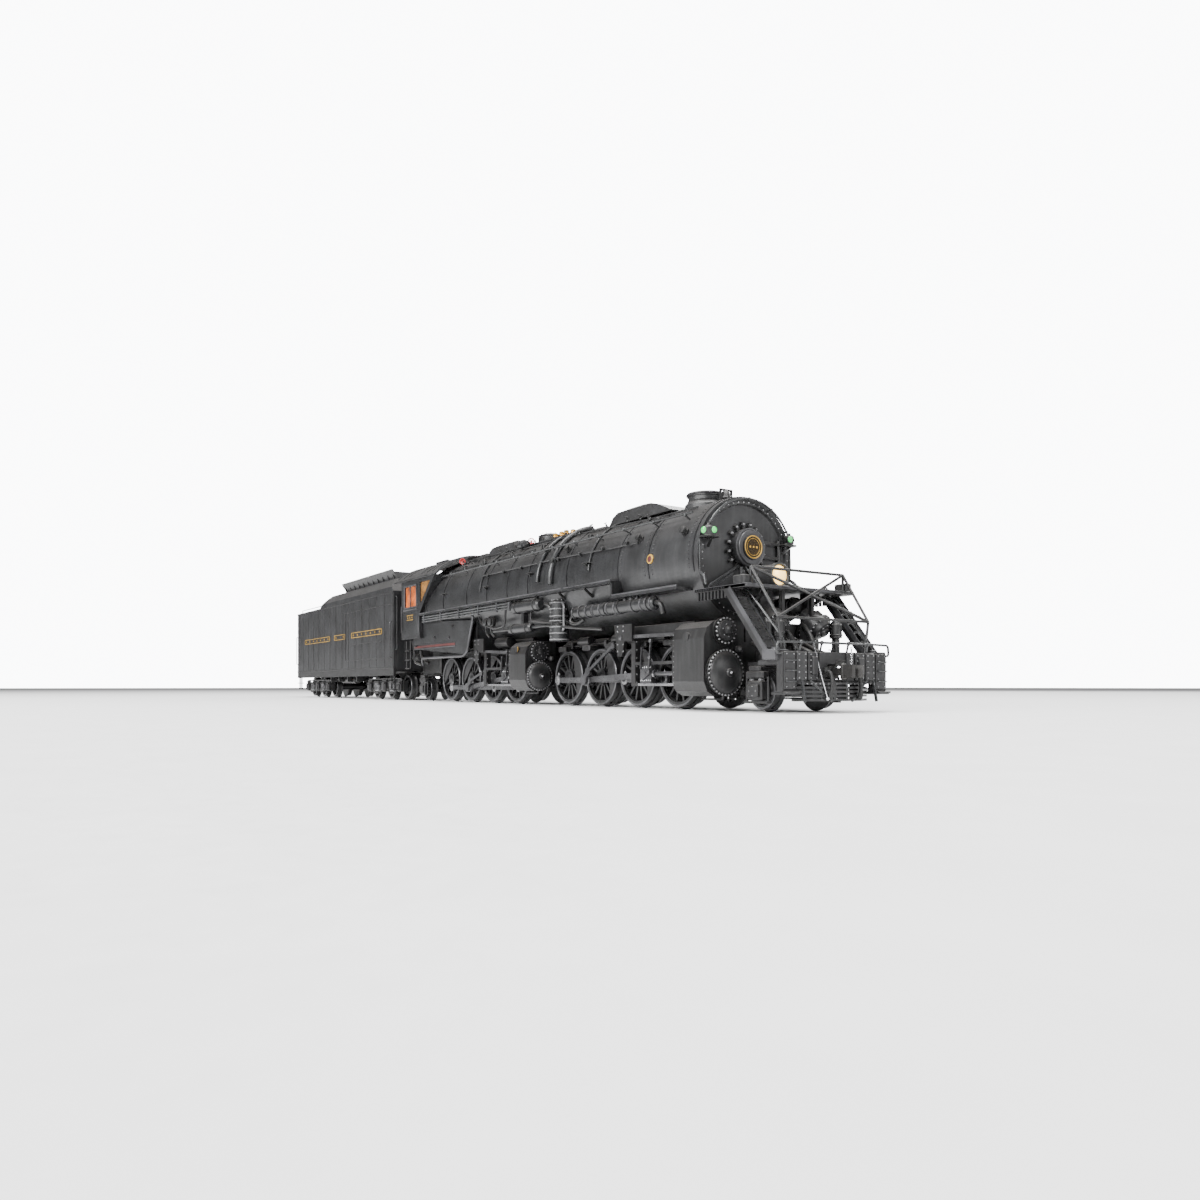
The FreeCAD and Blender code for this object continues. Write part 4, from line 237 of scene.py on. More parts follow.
def inset(outline, depth):
    """The outline moved inward by depth."""
    area = sum(p[0] * q[1] - q[0] * p[1] for p, q in zip(outline, outline[1:] + outline[:1]))
    turn = 1 if area > 0 else -1
    moved = []
    for i, here in enumerate(outline):
        before = (Vector(here) - Vector(outline[i - 1])).normalized()
        after = (Vector(outline[(i + 1) % len(outline)]) - Vector(here)).normalized()
        way = Vector((-(before.y + after.y), before.x + after.x)).normalized() * turn
        square = Vector((-after.y, after.x)) * turn
        moved.append(tuple(Vector(here) + way * depth / max(way.dot(square), 0.4)))
    return moved


def bent(points, radius=2.0, steps=4):
    """The polyline with each inner corner rounded."""
    path = [Vector(p) for p in points]
    smooth = [path[0]]
    for before, here, after in zip(path, path[1:], path[2:]):
        start = here + (before - here).normalized() * min(radius, (before - here).length * 0.45)
        end = here + (after - here).normalized() * min(radius, (after - here).length * 0.45)
        for i in range(steps + 1):
            t = i / steps
            smooth.append(start * (1 - t) ** 2 + here * 2 * t * (1 - t) + end * t * t)
    return smooth + [path[-1]]


def steps_between(start, end, count):
    """Evenly spaced values from start to end."""
    return [start + (end - start) * i / (count - 1) for i in range(count)]


class Piece:
    """One mesh piece made of many small closed shapes, riding on one body."""

    def __init__(self, name, body, material):
        self.name, self.body, self.material = name, body, material
        self.mesh = bmesh.new()

    def __enter__(self):
        return self

    def __exit__(self, kind, value, trace):
        if kind:
            return
        data = bpy.data.meshes.new(self.name)
        bmesh.ops.recalc_face_normals(self.mesh, faces=self.mesh.faces)
        self.mesh.to_mesh(data)
        self.mesh.free()
        data.shade_smooth()
        data.set_sharp_from_angle(angle=math.radians(38))
        data.materials.append(self.material)
        self.object = bpy.data.objects.new(self.name, data)
        bpy.context.scene.collection.objects.link(self.object)
        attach(self.object, self.body)

    def skin(self, rings, closed=False):
        """Covers successive rings of points; a ring of one point is a tip, and open ends are capped."""
        rows = [[self.mesh.verts.new(Vector(p) * MM) for p in ring] for ring in rings]
        pairs = list(zip(rows, rows[1:])) + ([(rows[-1], rows[0])] if closed else [])
        for a, b in pairs:
            count = max(len(a), len(b))
            for i in range(count):
                j = (i + 1) % count
                corners = [a[i % len(a)], a[j % len(a)], b[j % len(b)], b[i % len(b)]]
                self.mesh.faces.new(list(dict.fromkeys(corners)))
        if not closed:
            for row in (rows[0], rows[-1]):
                if len(row) > 2:
                    self.mesh.faces.new(row)

    def tube(self, points, radius, sides=8, closed=False):
        path = [Vector(p) for p in points]
        rings, across = [], None
        for i, here in enumerate(path):
            before = path[i - 1] if i or closed else here
            after = path[(i + 1) % len(path)] if i < len(path) - 1 or closed else here
            along = ((here - before).normalized() + (after - here).normalized()).normalized()
            across = along.orthogonal() if across is None else across - along * across.dot(along)
            across.normalize()
            up = along.cross(across)
            rings.append([here + (across * math.cos(t) + up * math.sin(t)) * radius
                          for t in steps_between(0, math.tau * (1 - 1 / sides), sides)])
        self.skin(rings, closed)

    def turned(self, origin, axis, profile, sides=20, closed=False):
        """A shape of revolution; profile lists (distance along the axis, radius)."""
        along = Vector(axis).normalized()
        across = along.orthogonal().normalized()
        up = along.cross(across)
        rings = []
        for step, radius in profile:
            centre = Vector(origin) + along * step
            turns = steps_between(0, math.tau * (1 - 1 / sides), sides) if radius else [0]
            rings.append([centre + (across * math.cos(t) + up * math.sin(t)) * radius for t in turns])
        self.skin(rings, closed)

    def ball(self, centre, radius, sides=10):
        arc = [(-radius * math.cos(t), radius * math.sin(t)) for t in steps_between(0, math.pi, 6)]
        arc[0], arc[-1] = (-radius, 0), (radius, 0)
        self.turned(centre, Z_WAY, arc, sides)

    def slab(self, axis, low, high, outline, bevel=0.25):
        """The outline, drawn across the axis, thickened from low to high with softened rims."""
        w = AXIS_INDEX[axis]
        levels = [(low, inset(outline, bevel)), (low + bevel, outline),
                  (high - bevel, outline), (high, inset(outline, bevel))]
        self.skin([[tuple(p[:w]) + (level,) + tuple(p[w:]) for p in shape] for level, shape in levels])

    def block(self, low, high, bevel=0.25):
        low, high = [min(p) for p in zip(low, high)], [max(p) for p in zip(low, high)]
        bevel = min([bevel] + [(b - a) * 0.3 for a, b in zip(low, high)])
        self.slab("z", low[2], high[2], chamfered(low[:2], high[:2], bevel), bevel)

    def bar(self, start, end, width, height):
        """A square-edged bar between two points."""
        start, end = Vector(start), Vector(end)
        along = (end - start).normalized()
        across = along.cross(Vector(Z_WAY)).normalized() if abs(along.z) < 0.95 else Vector(Y_WAY)
        up = across.cross(along)
        corners = [(-width, -height), (width, -height), (width, height), (-width, height)]
        self.skin([[p + across * u / 2 + up * v / 2 for u, v in corners] for p in (start, end)])

    def stud(self, place, axis, radius, height, sides=6):
        """A bolt head or rivet with a softly domed top."""
        self.turned(place, axis, [(-0.1, radius), (height * 0.65, radius * 0.92), (height, radius * 0.45)],
            sides)

    def stud_ring(self, centre, axis, ring_radius, count, radius, height, phase=0.0):
        along = Vector(axis).normalized()
        across = along.orthogonal().normalized()
        up = along.cross(across)
        for i in range(count):
            t = math.tau * (i + phase) / count
            self.stud(Vector(centre) + (across * math.cos(t) + up * math.sin(t)) * ring_radius, axis,
                radius, height)

    def stud_row(self, start, end, count, axis, radius, height):
        for t in steps_between(0.0, 1.0, count):
            self.stud(Vector(start).lerp(Vector(end), t), axis, radius, height)

    def hoop(self, x, width, radius, height, start=-104, end=104, centre=BOILER_Z, steps=48):
        """A flat band round the boiler from one angle to another, in degrees from the top."""
        rings = []
        for angle in steps_between(start, end, steps):
            s, c = math.sin(math.radians(angle)), math.cos(math.radians(angle))
            inner, outer = radius - 0.3, radius + height
            rings.append([(x + dx, r * s, centre + r * c) for dx, r in (
                (-width / 2, inner), (-width / 2, outer), (width / 2, outer), (width / 2, inner))])
        self.skin(rings)

    def torus(self, centre, axis, radius, wire_radius, sides=24, wire_sides=8):
        along = Vector(axis).normalized()
        across = along.orthogonal().normalized()
        up = along.cross(across)
        self.tube([Vector(centre) + (across * math.cos(t) + up * math.sin(t)) * radius
                   for t in steps_between(0, math.tau * (1 - 1 / sides), sides)], wire_radius, wire_sides,
                       True)

    def spring(self, foot, height, radius, wire_radius, turns):
        count = turns * 10 + 1
        self.tube([(foot[0] + radius * math.cos(i * math.tau / 10),
            foot[1] + radius * math.sin(i * math.tau / 10),
                    foot[2] + height * i / (count - 1)) for i in range(count)], wire_radius, 6)

    def handwheel(self, centre, axis, radius):
        along = Vector(axis).normalized()
        across = along.orthogonal().normalized()
        self.torus(centre, axis, radius, radius * 0.17, 16, 6)
        self.stud(Vector(centre) - along * radius * 0.25, axis, radius * 0.28, radius * 0.5, 8)
        for turn in range(3):
            way = (across * math.cos(turn * math.pi / 3) +
                   along.cross(across) * math.sin(turn * math.pi / 3)) * radius
            self.tube([Vector(centre) - way, Vector(centre) + way], radius * 0.11, 5)

    def valve(self, place, way, size):
        """A small globe valve standing on a pipe: body, bonnet, stem and wheel."""
        self.ball(place, size)
        self.turned(place, way, [(0, size * 0.7), (size * 1.3, size * 0.6), (size * 1.5, size * 0.8),
                                 (size * 1.8, size * 0.8), (size * 1.9, size * 0.25),
                                     (size * 2.9, size * 0.25)], 8)
        self.torus(Vector(place) + Vector(way).normalized() * size * 2.7, way, size * 0.95, size * 0.2, 12,
            5)


# ---------------------------------------------------------------- boiler geometry


def boiler_radius(x):
    """The shell radius, tapered towards the smokebox."""
    share = min(max((x - TAPER_START) / (TAPER_END - TAPER_START), 0.0), 1.0)
    return BOILER_R + (SMOKEBOX_R - BOILER_R) * share


def on_shell(x, angle, lift=0.0):
    """A point off the boiler side, at an angle in degrees from the top."""
    radius = boiler_radius(x) + lift
    return (x, radius * math.sin(math.radians(angle)), BOILER_Z + radius * math.cos(math.radians(angle)))


def away(angle):
    """The outward direction at an angle in degrees from the top."""
    return (0, math.sin(math.radians(angle)), math.cos(math.radians(angle)))


def wrap(x, start, end, lift, steps=14):
    """A path round the shell at one x."""
    return [on_shell(x, angle, lift) for angle in steps_between(start, end, steps)]


def along_shell(start, end, angle, lift, steps=8):
    """A path along the shell at one angle."""
    return [on_shell(x, angle, lift) for x in steps_between(start, end, steps)]


def at_height(x, z, side, lift=0.0):
    """A point off the boiler side at a height."""
    rise = z - BOILER_Z
    return (x, side * math.sqrt(max((boiler_radius(x) + lift) ** 2 - rise * rise, 0.0)), z)


# ---------------------------------------------------------------- boiler and smokebox


def boiler_dressing():
    """Bands, rivets, handrails, piping, small valves and steps on the boiler."""
    with Piece("boiler_bands", "root", BOILER) as p:
        for x in (-6, 24, 62, 92, 120, 146, 190, 236):
            p.hoop(x, 1.4, boiler_radius(x), 0.35)
        for x in (262.0, 295.6):
            p.hoop(x, 1.0, SMOKEBOX_R, 0.4)
    with Piece("boiler_rivets", "root", SMOKEBOX) as p:
        for x in (239, 259, 265, 292.5):
            for angle in range(-100, 101, 4):
                p.stud(on_shell(x, angle), away(angle), 0.36, 0.35)
        for x in range(-4, 60, 8):
            for angle in (34, 46, 58, 70, 82):
                for side in SIDES:
                    p.stud(on_shell(x, side * angle), away(side * angle), 0.3, 0.22)
    with Piece("boiler_handrails", "root", RAIL) as p:
        for side in SIDES:
            p.tube(bent([(-6, side * HANDRAIL_Y, 89.2), (236, side * HANDRAIL_Y, 89.8),
                (262, side * 26.2, 90.4),
                         (291, side * 25.4, 90.4)], 8), 0.55)
            for x in steps_between(6, 286, 13):
                reach = 27.8 if x < 236 else 27.8 - (x - 236) * 0.044
                p.tube([at_height(x, 88.0, side), (x, side * reach, 89.8)], 0.4, 6)
                p.ball((x, side * reach, 89.8), 0.95, 8)
    with Piece("boiler_pipes", "root", BOILER) as p:
        for side in SIDES:
            p.tube(along_shell(22, 186, side * 24, 1.1), 0.75)
            p.tube(along_shell(46, 284, side * 33, 0.9), 0.5)
            p.tube(along_shell(84, 252, side * 67, 1.0), 0.5)
            p.tube(along_shell(14, 140, side * 44, 0.8), 0.45)
            for x in (84, 212):
                p.tube(wrap(x, side * 22, side * 86, 0.65), 0.55)
            p.tube(wrap(175.0, side * 10, side * 93, 1.2, 22), 1.7, 10)
            p.tube(wrap(160.0, side * 30, side * 88, 1.0, 16), 1.1, 10)
            for y in (3.0, 5.4, 7.8):
                p.tube(bent([(33, side * y, 103.2), (20, side * (y + 2), 103.6),
                    (15, side * (y + 5), 100.2),
                             (-10, side * (y + 7), 98.0)], 4), 0.6)
            for x in range(92, 250, 22):
                p.block((x - 0.7, side * 29.0, 81.0), (x + 0.7, side * 31.2, 82.8))
        p.turned(on_shell(116, -30, 3.0), X_WAY, [(-5, 0.9), (-4.6, 2.4), (-1.2, 2.4), (-1.0, 3.1),
            (1.0, 3.1),
                                                   (1.2, 2.2), (4.2, 2.2), (5.0, 1.0)], 16)
        p.turned(on_shell(100, 30, 3.0), X_WAY, [(-5, 0.9), (-4.6, 2.4), (4.2, 2.2), (5.0, 1.0)], 16)
    with Piece("boiler_valves", "root", CHASSIS) as p:
        for side in SIDES:
            for x in (28, 36, 46, 54, 66, 76, 88, 104, 126, 134, 144, 154, 164, 184, 196, 208, 222, 234,
                    248):
                angle = side * dice.uniform(22, 38)
                p.valve(on_shell(x, angle, 1.3), away(angle), dice.uniform(0.7, 1.1))
            for x in (40, 72, 110, 150, 201, 258):
                angle = side * dice.uniform(40, 50)
                place = on_shell(x, angle, 0.8)
                p.block([v - 1.3 for v in place], [v + 1.3 for v in place], 0.3)
            for x, angle in ((160, 52), (175, 70), (186, 58), (252, 62), (288, 66)):
                p.turned(on_shell(x, side * angle, -0.2), away(side * angle),
                         [(0, 2.1), (1.0, 2.1), (1.1, 1.4), (2.4, 1.4), (2.5, 1.9), (3.1, 1.9), (3.4, 0.8)],
                             12)
    with Piece("boiler_steps", "root", CHASSIS) as p:
        for side in SIDES:
            for x, z in ((26.5, 75.6), (92.8, 74.4), (150.0, 77.0), (210.0, 76.0)):
                _, shell, _ = at_height(x, z, 1)
                p.slab("z", z - 0.3, z + 0.3, [(x - 3.6, side * (shell - 0.4)),
                    (x + 3.6, side * (shell - 0.4)),
                                               (x + 2.8, side * (shell + 2.6)),
                                                   (x - 2.8, side * (shell + 2.6))], 0.1)
                p.bar((x, side * (shell - 0.3), z - 2.6), (x, side * (shell + 2.2), z - 0.2), 0.6, 0.6)
    with Piece("smokebox_side_discs", "root", GOLD) as p:
        for side in SIDES:
            place = at_height(264, 71.9, side, -0.2)
            p.turned(place, (0, side, 0.07), [(0, 2.3), (0.7, 2.3), (0.8, 2.1)], 24)
    with Piece("smokebox_side_disc_centres", "root", RED_STRIP) as p:
        for side in SIDES:
            p.turned(at_height(264, 71.9, side, 0.4), (0, side, 0.07), [(0, 1.6), (0.3, 1.5), (0.5, 0.4)],
                20)


def dome_dressing():
    """Hatches, stack rims, bell, brass valves and red handwheels on top of the boiler."""
    with Piece("dome_rivets_and_hatches", "root", BOILER) as p:
        for x, foot in ((222, 106.0), (71, 106.4)):
            p.turned((x, 0, foot), Z_WAY, [(0, 4.6), (1.3, 4.6), (1.5, 4.2)], 24)
            p.bar((x - 4.6, 0, foot + 1.4), (x + 4.6, 0, foot + 1.4), 1.0, 0.5)
        p.torus((STEAM_DOME_X, 0, 105.4), Z_WAY, 7.9, 0.35, 32)
        p.torus((STACK_X, 0, 104.4), Z_WAY, 9.4, 0.4, 36)
        p.torus((STACK_X, 0, 101.4), Z_WAY, 8.7, 0.35, 36)
    with Piece("dome_bolts", "root", BOLTS) as p:
        p.stud_ring((STEAM_DOME_X, 0, 106.9), Z_WAY, 6.6, 14, 0.35, 0.3)
        for x, level in ((222, 107.45), (71, 107.7)):
            p.stud_ring((x, 0, level), Z_WAY, 3.8, 8, 0.3, 0.2, 0.5)
    with Piece("bell_and_bracket", "root", CHASSIS) as p:
        p.turned((BELL_X, 0, 98.6), Z_WAY, [(0, 1.3), (2.0, 1.3), (2.1, 2.9), (3.4, 2.2), (5.4, 1.6),
            (6.2, 0.5)], 20)
        for side in SIDES:
            p.bar((BELL_X, side * 3.4, 98.0), (BELL_X, side * 3.4, 104.4), 0.9, 0.9)
        p.bar((BELL_X, -3.8, 104.6), (BELL_X, 3.8, 104.6), 0.9, 0.9)
    with Piece("brass_whistle_and_valves", "root", BRASS) as p:
        for x, y, top in ((131.5, -3.4, 105.6), (139.0, -3.4, 105.6), (131.5, 3.4, 105.6),
            (139.0, 3.4, 105.6),
                          (146.5, -4.6, 105.4), (146.5, 3.0, 105.4), (153.5, -4.2, 104.8)):
            foot = 100.3
            rise = top - foot
            p.turned((x, y, foot), Z_WAY, [(0, 1.9), (0.8, 1.9), (1.0, 1.3), (rise * 0.5, 1.45),
                (rise * 0.55, 1.9),
                                           (rise * 0.68, 1.9), (rise * 0.72, 1.5), (rise * 0.92, 1.6),
                                               (rise, 1.0)], 16)
    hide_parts("safety_valves_and_bell")
    with Piece("red_handwheels", "root", RED) as p:
        for place in ((21.5, -15.5, 100.2), (100.0, -3.0, 105.2), (21.5, 15.5, 100.2)):
            p.handwheel(place, (0.85, -0.5, 0.15), 1.9)
    with Piece("handwheel_stems", "root", BOLTS) as p:
        for x, y, z in ((21.5, -15.5, 100.2), (100.0, -3.0, 105.2), (21.5, 15.5, 100.2)):
            p.tube([(x, y, z), (x - 2.6, y + 1.5, z - 0.6), (x - 3.0, y * 0.92, z - 4.6)], 0.45, 6)
            p.ball((x - 2.8, y + 1.4, z - 0.8), 1.1, 8)


def smokebox_front_dressing():
    """Bolts, dogs, hinges, number plate, handrail and marker lamps of the smokebox front."""
    front = millimetres("smokebox_front")[1][0]
    with Piece("smokebox_front_bolts", "root", BOLTS) as p:
        p.stud_ring((PLATE_X - 0.05, 0, BOILER_Z), X_WAY, 26.5, 52, 0.42, 0.5)
        p.stud_ring((PLATE_X - 0.2, 0, DOOR_Z), X_WAY, 11.0, 16, 0.75, 1.5, 0.5)
    with Piece("door_dogs", "root", CHASSIS) as p:
        for i in range(16):
            t = math.tau * (i + 0.5) / 16
            way = Vector((0, math.cos(t), math.sin(t)))
            centre = Vector((PLATE_X - 0.2, 0, DOOR_Z))
            p.bar(centre + way * 8.7, centre + way * 12.2, 1.3, 1.4)
        for z in (-3.4, 3.4):
            p.block((PLATE_X - 1.2, 8.0, DOOR_Z + z - 0.8), (PLATE_X + 0.5, 21.5, DOOR_Z + z + 0.8))
        p.tube([(PLATE_X - 0.2, 21.0, DOOR_Z - 5.2), (PLATE_X - 0.2, 21.0, DOOR_Z + 5.2)], 1.0, 10)
    # The drum rim's paler paint is partly a painted highlight on the drum's edge, partly edge wear.
    with Piece("door_drum_rim", "root", EDGE_WEAR_AND_HIGHLIGHT) as p:
        p.torus((front - 2.0, 0, DOOR_Z), X_WAY, 8.6, 0.45, 44)
        p.turned((front - 1.1, 0, DOOR_Z), X_WAY, [(0, 8.0), (0.35, 7.8), (0.35, 5.9), (0, 5.75)], 44, True)
    with Piece("number_plate_rims", "root", GOLD) as p:
        p.torus((front - 0.05, 0, DOOR_Z), X_WAY, 5.1, 0.3, 44)
        p.torus((front - 0.1, 0, DOOR_Z), X_WAY, 3.9, 0.14, 40)
        for y in (-2.0, 0.0, 2.0):
            p.turned((front - 0.2, y, DOOR_Z), X_WAY, [(0, 0.62), (0.3, 0.62), (0.4, 0.4)], 4)
    with Piece("number_plate_face", "root", PLATE_GLASS) as p:
        p.turned((front - 0.5, 0, DOOR_Z), X_WAY, [(0, 5.0), (0.4, 5.0), (0.5, 4.9)], 44)
    with Piece("front_handrail", "root", RAIL) as p:
        arc = [(PLATE_X + 2.2, 28.0 * math.sin(math.radians(t)),
            BOILER_Z + 28.0 * math.cos(math.radians(t)))
               for t in steps_between(-64, 64, 33)]
        p.tube(arc, 0.5)
        for t in (-58, -30, 0, 30, 58):
            s, c = math.sin(math.radians(t)), math.cos(math.radians(t))
            p.tube([(PLATE_X - 0.4, 28.0 * s, BOILER_Z + 28.0 * c),
                (PLATE_X + 2.2, 28.0 * s, BOILER_Z + 28.0 * c)], 0.45, 6)
            p.ball((PLATE_X + 2.2, 28.0 * s, BOILER_Z + 28.0 * c), 0.8, 8)
        for side in SIDES:
            p.tube([(306, side * 27.8, 55.8), (300, side * 5.6, 66.4)], 0.55)
            p.tube([(305, side * 25.0, 55.8), (300.6, side * 9.6, 63.0)], 0.9)
            p.tube([(301, side * 4.8, 53.4), (301, side * 4.8, 65.8)], 0.75)
            p.tube(bent([(299.4, side * 28.0, 62.0), (303, side * 28.4, 60.0), (304, side * 28.4, 56.0)],
                2), 0.6)
            p.tube([(299.2, side * 28.2, 77.0), (299.4, side * 28.0, 62.0)], 0.4)
    with Piece("marker_lamps", "root", CHASSIS) as p:
        for side in SIDES:
            p.block((298.2, side * 20.6, 77.4), (304.0, side * 28.0, 78.4))
            p.bar((299.0, side * 23.0, 74.0), (303.4, side * 24.6, 77.4), 1.0, 1.0)
            p.turned((301.6, side * 24.9, 78.4), Z_WAY,
                [(0, 2.2), (0.6, 2.5), (3.6, 2.5), (4.2, 2.0), (4.6, 1.0),
                                                         (5.4, 0.9), (5.6, 0.4)], 18)
            for axis, place in ((X_WAY, (303.4, side * 23.6, 80.7)),
                    ((0.1, side, 0), (301.2, side * 26.9, 80.7))):
                p.turned(place, axis, [(-1.0, 1.9), (0.5, 1.9), (0.6, 1.5)], 16)
    with Piece("marker_lamp_lenses", "root", GREEN_GLASS) as p:
        for side in SIDES:
            for axis, place in ((X_WAY, (303.9, side * 23.6, 80.7)),
                    ((0.1, side, 0), (301.25, side * 27.4, 80.7))):
                p.turned(place, axis, [(-0.3, 1.5), (0.2, 1.5), (0.7, 1.1), (1.0, 0.5), (1.05, 0)], 16)


# ---------------------------------------------------------------- walkways and side equipment


def walkway_dressing():
    """Walkway edges and treads, cooling pipes, heaters, compressor and side piping."""
    top = millimetres("walkways")[1][2]
    with Piece("walkway_edges", "root", EDGE_WEAR_AND_HIGHLIGHT) as p:
        for side in SIDES:
            p.block((-12.2, side * 34.2, top - 0.7), (190.0, side * 35.0, top))
            p.block((192.0, side * 34.2, top - 0.7), (238.0, side * 35.0, top))
            p.block((238.6, side * 34.2, 56.1), (290.8, side * 35.0, 56.85))
            for x in range(-2, 238, 12):
                p.stud((x, side * 34.7, top - 1.3), (0, side, 0), 0.35, 0.3)
    with Piece("walkway_treads", "root", CHASSIS) as p:
        tread = top - 0.8
        for side in SIDES:
            for x in range(-6, 236, 6):
                p.block((x, side * 31.0, tread - 0.4), (x + 3.4, side * 33.8, tread + 0.25), 0.1)
            for x in range(4, 236, 26):
                p.bar((x, side * 28.0, top - 6.4), (x, side * 33.6, top - 2.4), 1.1, 1.1)
    with Piece("cooling_pipes", "root", RAIL) as p:
        for side in SIDES:
            for z in (58.0, 59.6, 61.2):
                p.tube(bent([(-9.0, side * 30.0, z), (-9.0, side * 33.9, z), (127.0, side * 33.9, z),
                             (128.6, side * 31.0, z)], 2), 0.55)
    with Piece("cooling_pipe_brackets", "root", EDGE_WEAR_AND_HIGHLIGHT) as p:
        for side in SIDES:
            for x in (-4, 26, 56, 86, 112):
                p.block((x - 0.5, side * 33.3, 56.8), (x + 0.5, side * 34.7, top - 2.0), 0.15)
            p.block((127.4, side * 31.6, 56.6), (129.2, side * 34.6, 62.0), 0.2)
    with Piece("side_pipes", "root", CHASSIS) as p:
        for side in SIDES:
            p.tube(bent([(129.5, side * 30.0, 62.0), (118.0, side * 31.0, 60.0), (117.0, side * 31.0, 48.0),
                         (100.0, side * 29.5, 47.0), (78.0, side * 28.5, 52.0), (74.5, side * 28.0, 58.0)],
                             4), 0.7)
            p.tube(bent([(166.0, side * 31.0, 58.0), (171.0, side * 31.0, 57.0),
                (173.0, side * 30.0, 52.0)], 3), 0.8)
            p.tube(bent([(152.0, side * 32.0, 54.0), (152.0, side * 32.4, 49.0), (168.0, side * 32.4, 47.0),
                         (186.0, side * 31.0, 46.0)], 3), 0.55)
            p.tube([(100.0, side * 30.0, 45.5), (123.0, side * 30.0, 45.5)], 0.9)
            p.tube(bent([(166.0, side * 30.0, 45.5), (182.0, side * 30.6, 44.2), (196.0, side * 30.6, 42.6),
                         (224.0, side * 30.0, 40.4)], 6), 0.8)
            p.tube(bent([(199.5, side * 31.2, 49.6), (196.0, side * 32.0, 48.2), (196.5, side * 32.4, 45.0),
                         (203.0, side * 32.4, 44.0), (207.0, side * 30.6, 46.4)], 3), 0.9, 10)
            p.tube(bent([(271.0, side * HEATER_Y, HEATER_Z), (275.0, side * 31.2, 50.0),
                (275.5, side * 30.2, 45.0)], 3), 1.2, 10)
            for x in (88.0, 95.0):
                p.turned((x, side * 27.5, 52.0), (0, side, 0),
                    [(0, 3.1), (2.0, 3.1), (2.2, 2.4), (3.4, 2.4), (3.8, 1.2)], 18)
                p.tube(bent([(x, side * 29.5, 49.0), (x + 1.0, side * 30.0, 45.0),
                    (x + 6.0, side * 30.0, 42.0)], 2), 0.5)
            for x in (135.0, 157.0):
                p.torus((x, side * 31.0, 58.0), X_WAY, 3.5, 0.35, 20)
                p.tube([(x, side * 31.0, 61.0), (x, side * 31.0, 62.6)], 0.6, 6)
            for x in (128.0, 145.0):
                p.torus((x, side * 30.0, 45.5), X_WAY, 2.9, 0.35, 18)
    with Piece("heater_ribs", "root", EDGE_WEAR_AND_HIGHLIGHT) as p:
        for side in SIDES:
            for x in (200.5, 207.0, 213.5, 220.0, 226.5, 233.0, 240.0, 262.0, 266.0, 269.6):
                p.torus((x, side * HEATER_Y, HEATER_Z), X_WAY, 3.2, 0.4, 20)
            p.stud_ring((270.9, side * HEATER_Y, HEATER_Z), X_WAY, 2.2, 8, 0.3, 0.3)
            for x in (246.0, 251.0, 256.0):
                p.turned((x, side * 31.2, 53.0), Z_WAY, [(0, 1.2), (1.0, 1.2), (1.1, 0.7), (1.6, 0.6)], 10)
    with Piece("compressor_fittings", "root", BOLTS) as p:
        for z in (37.0, 40.5, 44.0, 47.4, 50.0, 54.0, 57.4):
            p.torus((COMPRESSOR_X, -COMPRESSOR_Y, z), Z_WAY, 5.35, 0.42, 28)
        for z in (48.5, 58.9):
            p.stud_ring((COMPRESSOR_X, -COMPRESSOR_Y, z), Z_WAY, 4.4, 12, 0.4, 0.4)
        for z in (38.6, 42.2, 52.0):
            p.stud_ring((COMPRESSOR_X, -COMPRESSOR_Y, z), (0, -1, 0), 0.1, 1, 1.1, 5.9)
        p.tube([(173.8, -30.5, 38.0), (173.8, -30.5, 56.0)], 0.6)
        p.tube(bent([(184.4, -30.0, 42.0), (186.2, -30.5, 43.0), (186.2, -30.5, 56.0),
            (183.0, -30.0, 58.0)], 2), 0.7)
    with Piece("air_filter_left", "root", CHASSIS) as p:
        p.turned((COMPRESSOR_X, COMPRESSOR_Y, 42.0), Z_WAY,
            [(0, 3.4), (0.6, 3.9), (13.4, 3.9), (14.0, 3.2), (16.0, 3.0), (16.6, 1.8)], 20)
        for z in (44.0, 47.0, 50.0, 53.0):
            p.torus((COMPRESSOR_X, COMPRESSOR_Y, z), Z_WAY, 3.9, 0.3, 20)


def ash_pan_dressing():
    """Rolled edges, red lining and rivets of the ash pans."""
    with Piece("ash_pan_trim", "root", EDGE_WEAR_AND_HIGHLIGHT) as p:
        for side in SIDES:
            y = side * ASH_PAN_Y
            p.tube(bent([(-12.0, y, 31.6), (57.0, y, 31.2), (63.6, y, 33.6), (68.6, y, 46.0),
                (72.4, y, 55.0),
                         (72.0, y, 61.0)], 3), 0.85, 10)
            p.block((-29.0, side * 31.1, 38.2), (45.0, side * 31.9, 39.0), 0.2)
            p.tube(bent([(-12.0, y, 31.6), (-14.5, y, 30.4), (-15.5, side * 30.0, 26.5)], 2), 0.85, 10)
    with Piece("ash_pan_red_strip", "root", RED_STRIP) as p:
        for side in SIDES:
            p.block((-29.0, side * 31.1, 39.2), (44.0, side * 31.6, 40.9), 0.15)
    with Piece("ash_pan_rivets", "root", FRONT) as p:
        for side in SIDES:
            p.stud_row((-29.0, side * 31.2, 57.6), (68.0, side * 31.2, 54.6), 26, (0, side, 0), 0.32, 0.3)
            p.stud_row((-26.0, side * 31.2, 42.6), (50.0, side * 31.2, 42.0), 22, (0, side, 0), 0.32, 0.3)
            for x, z in ((8.0, 46.0), (34.0, 45.0), (40.0, 52.5)):
                p.turned((x, side * 31.1, z), (0, side, 0), [(0, 1.3), (0.5, 1.3), (0.6, 0.8), (1.1, 0.7)],
                    12)


# ---------------------------------------------------------------- cab


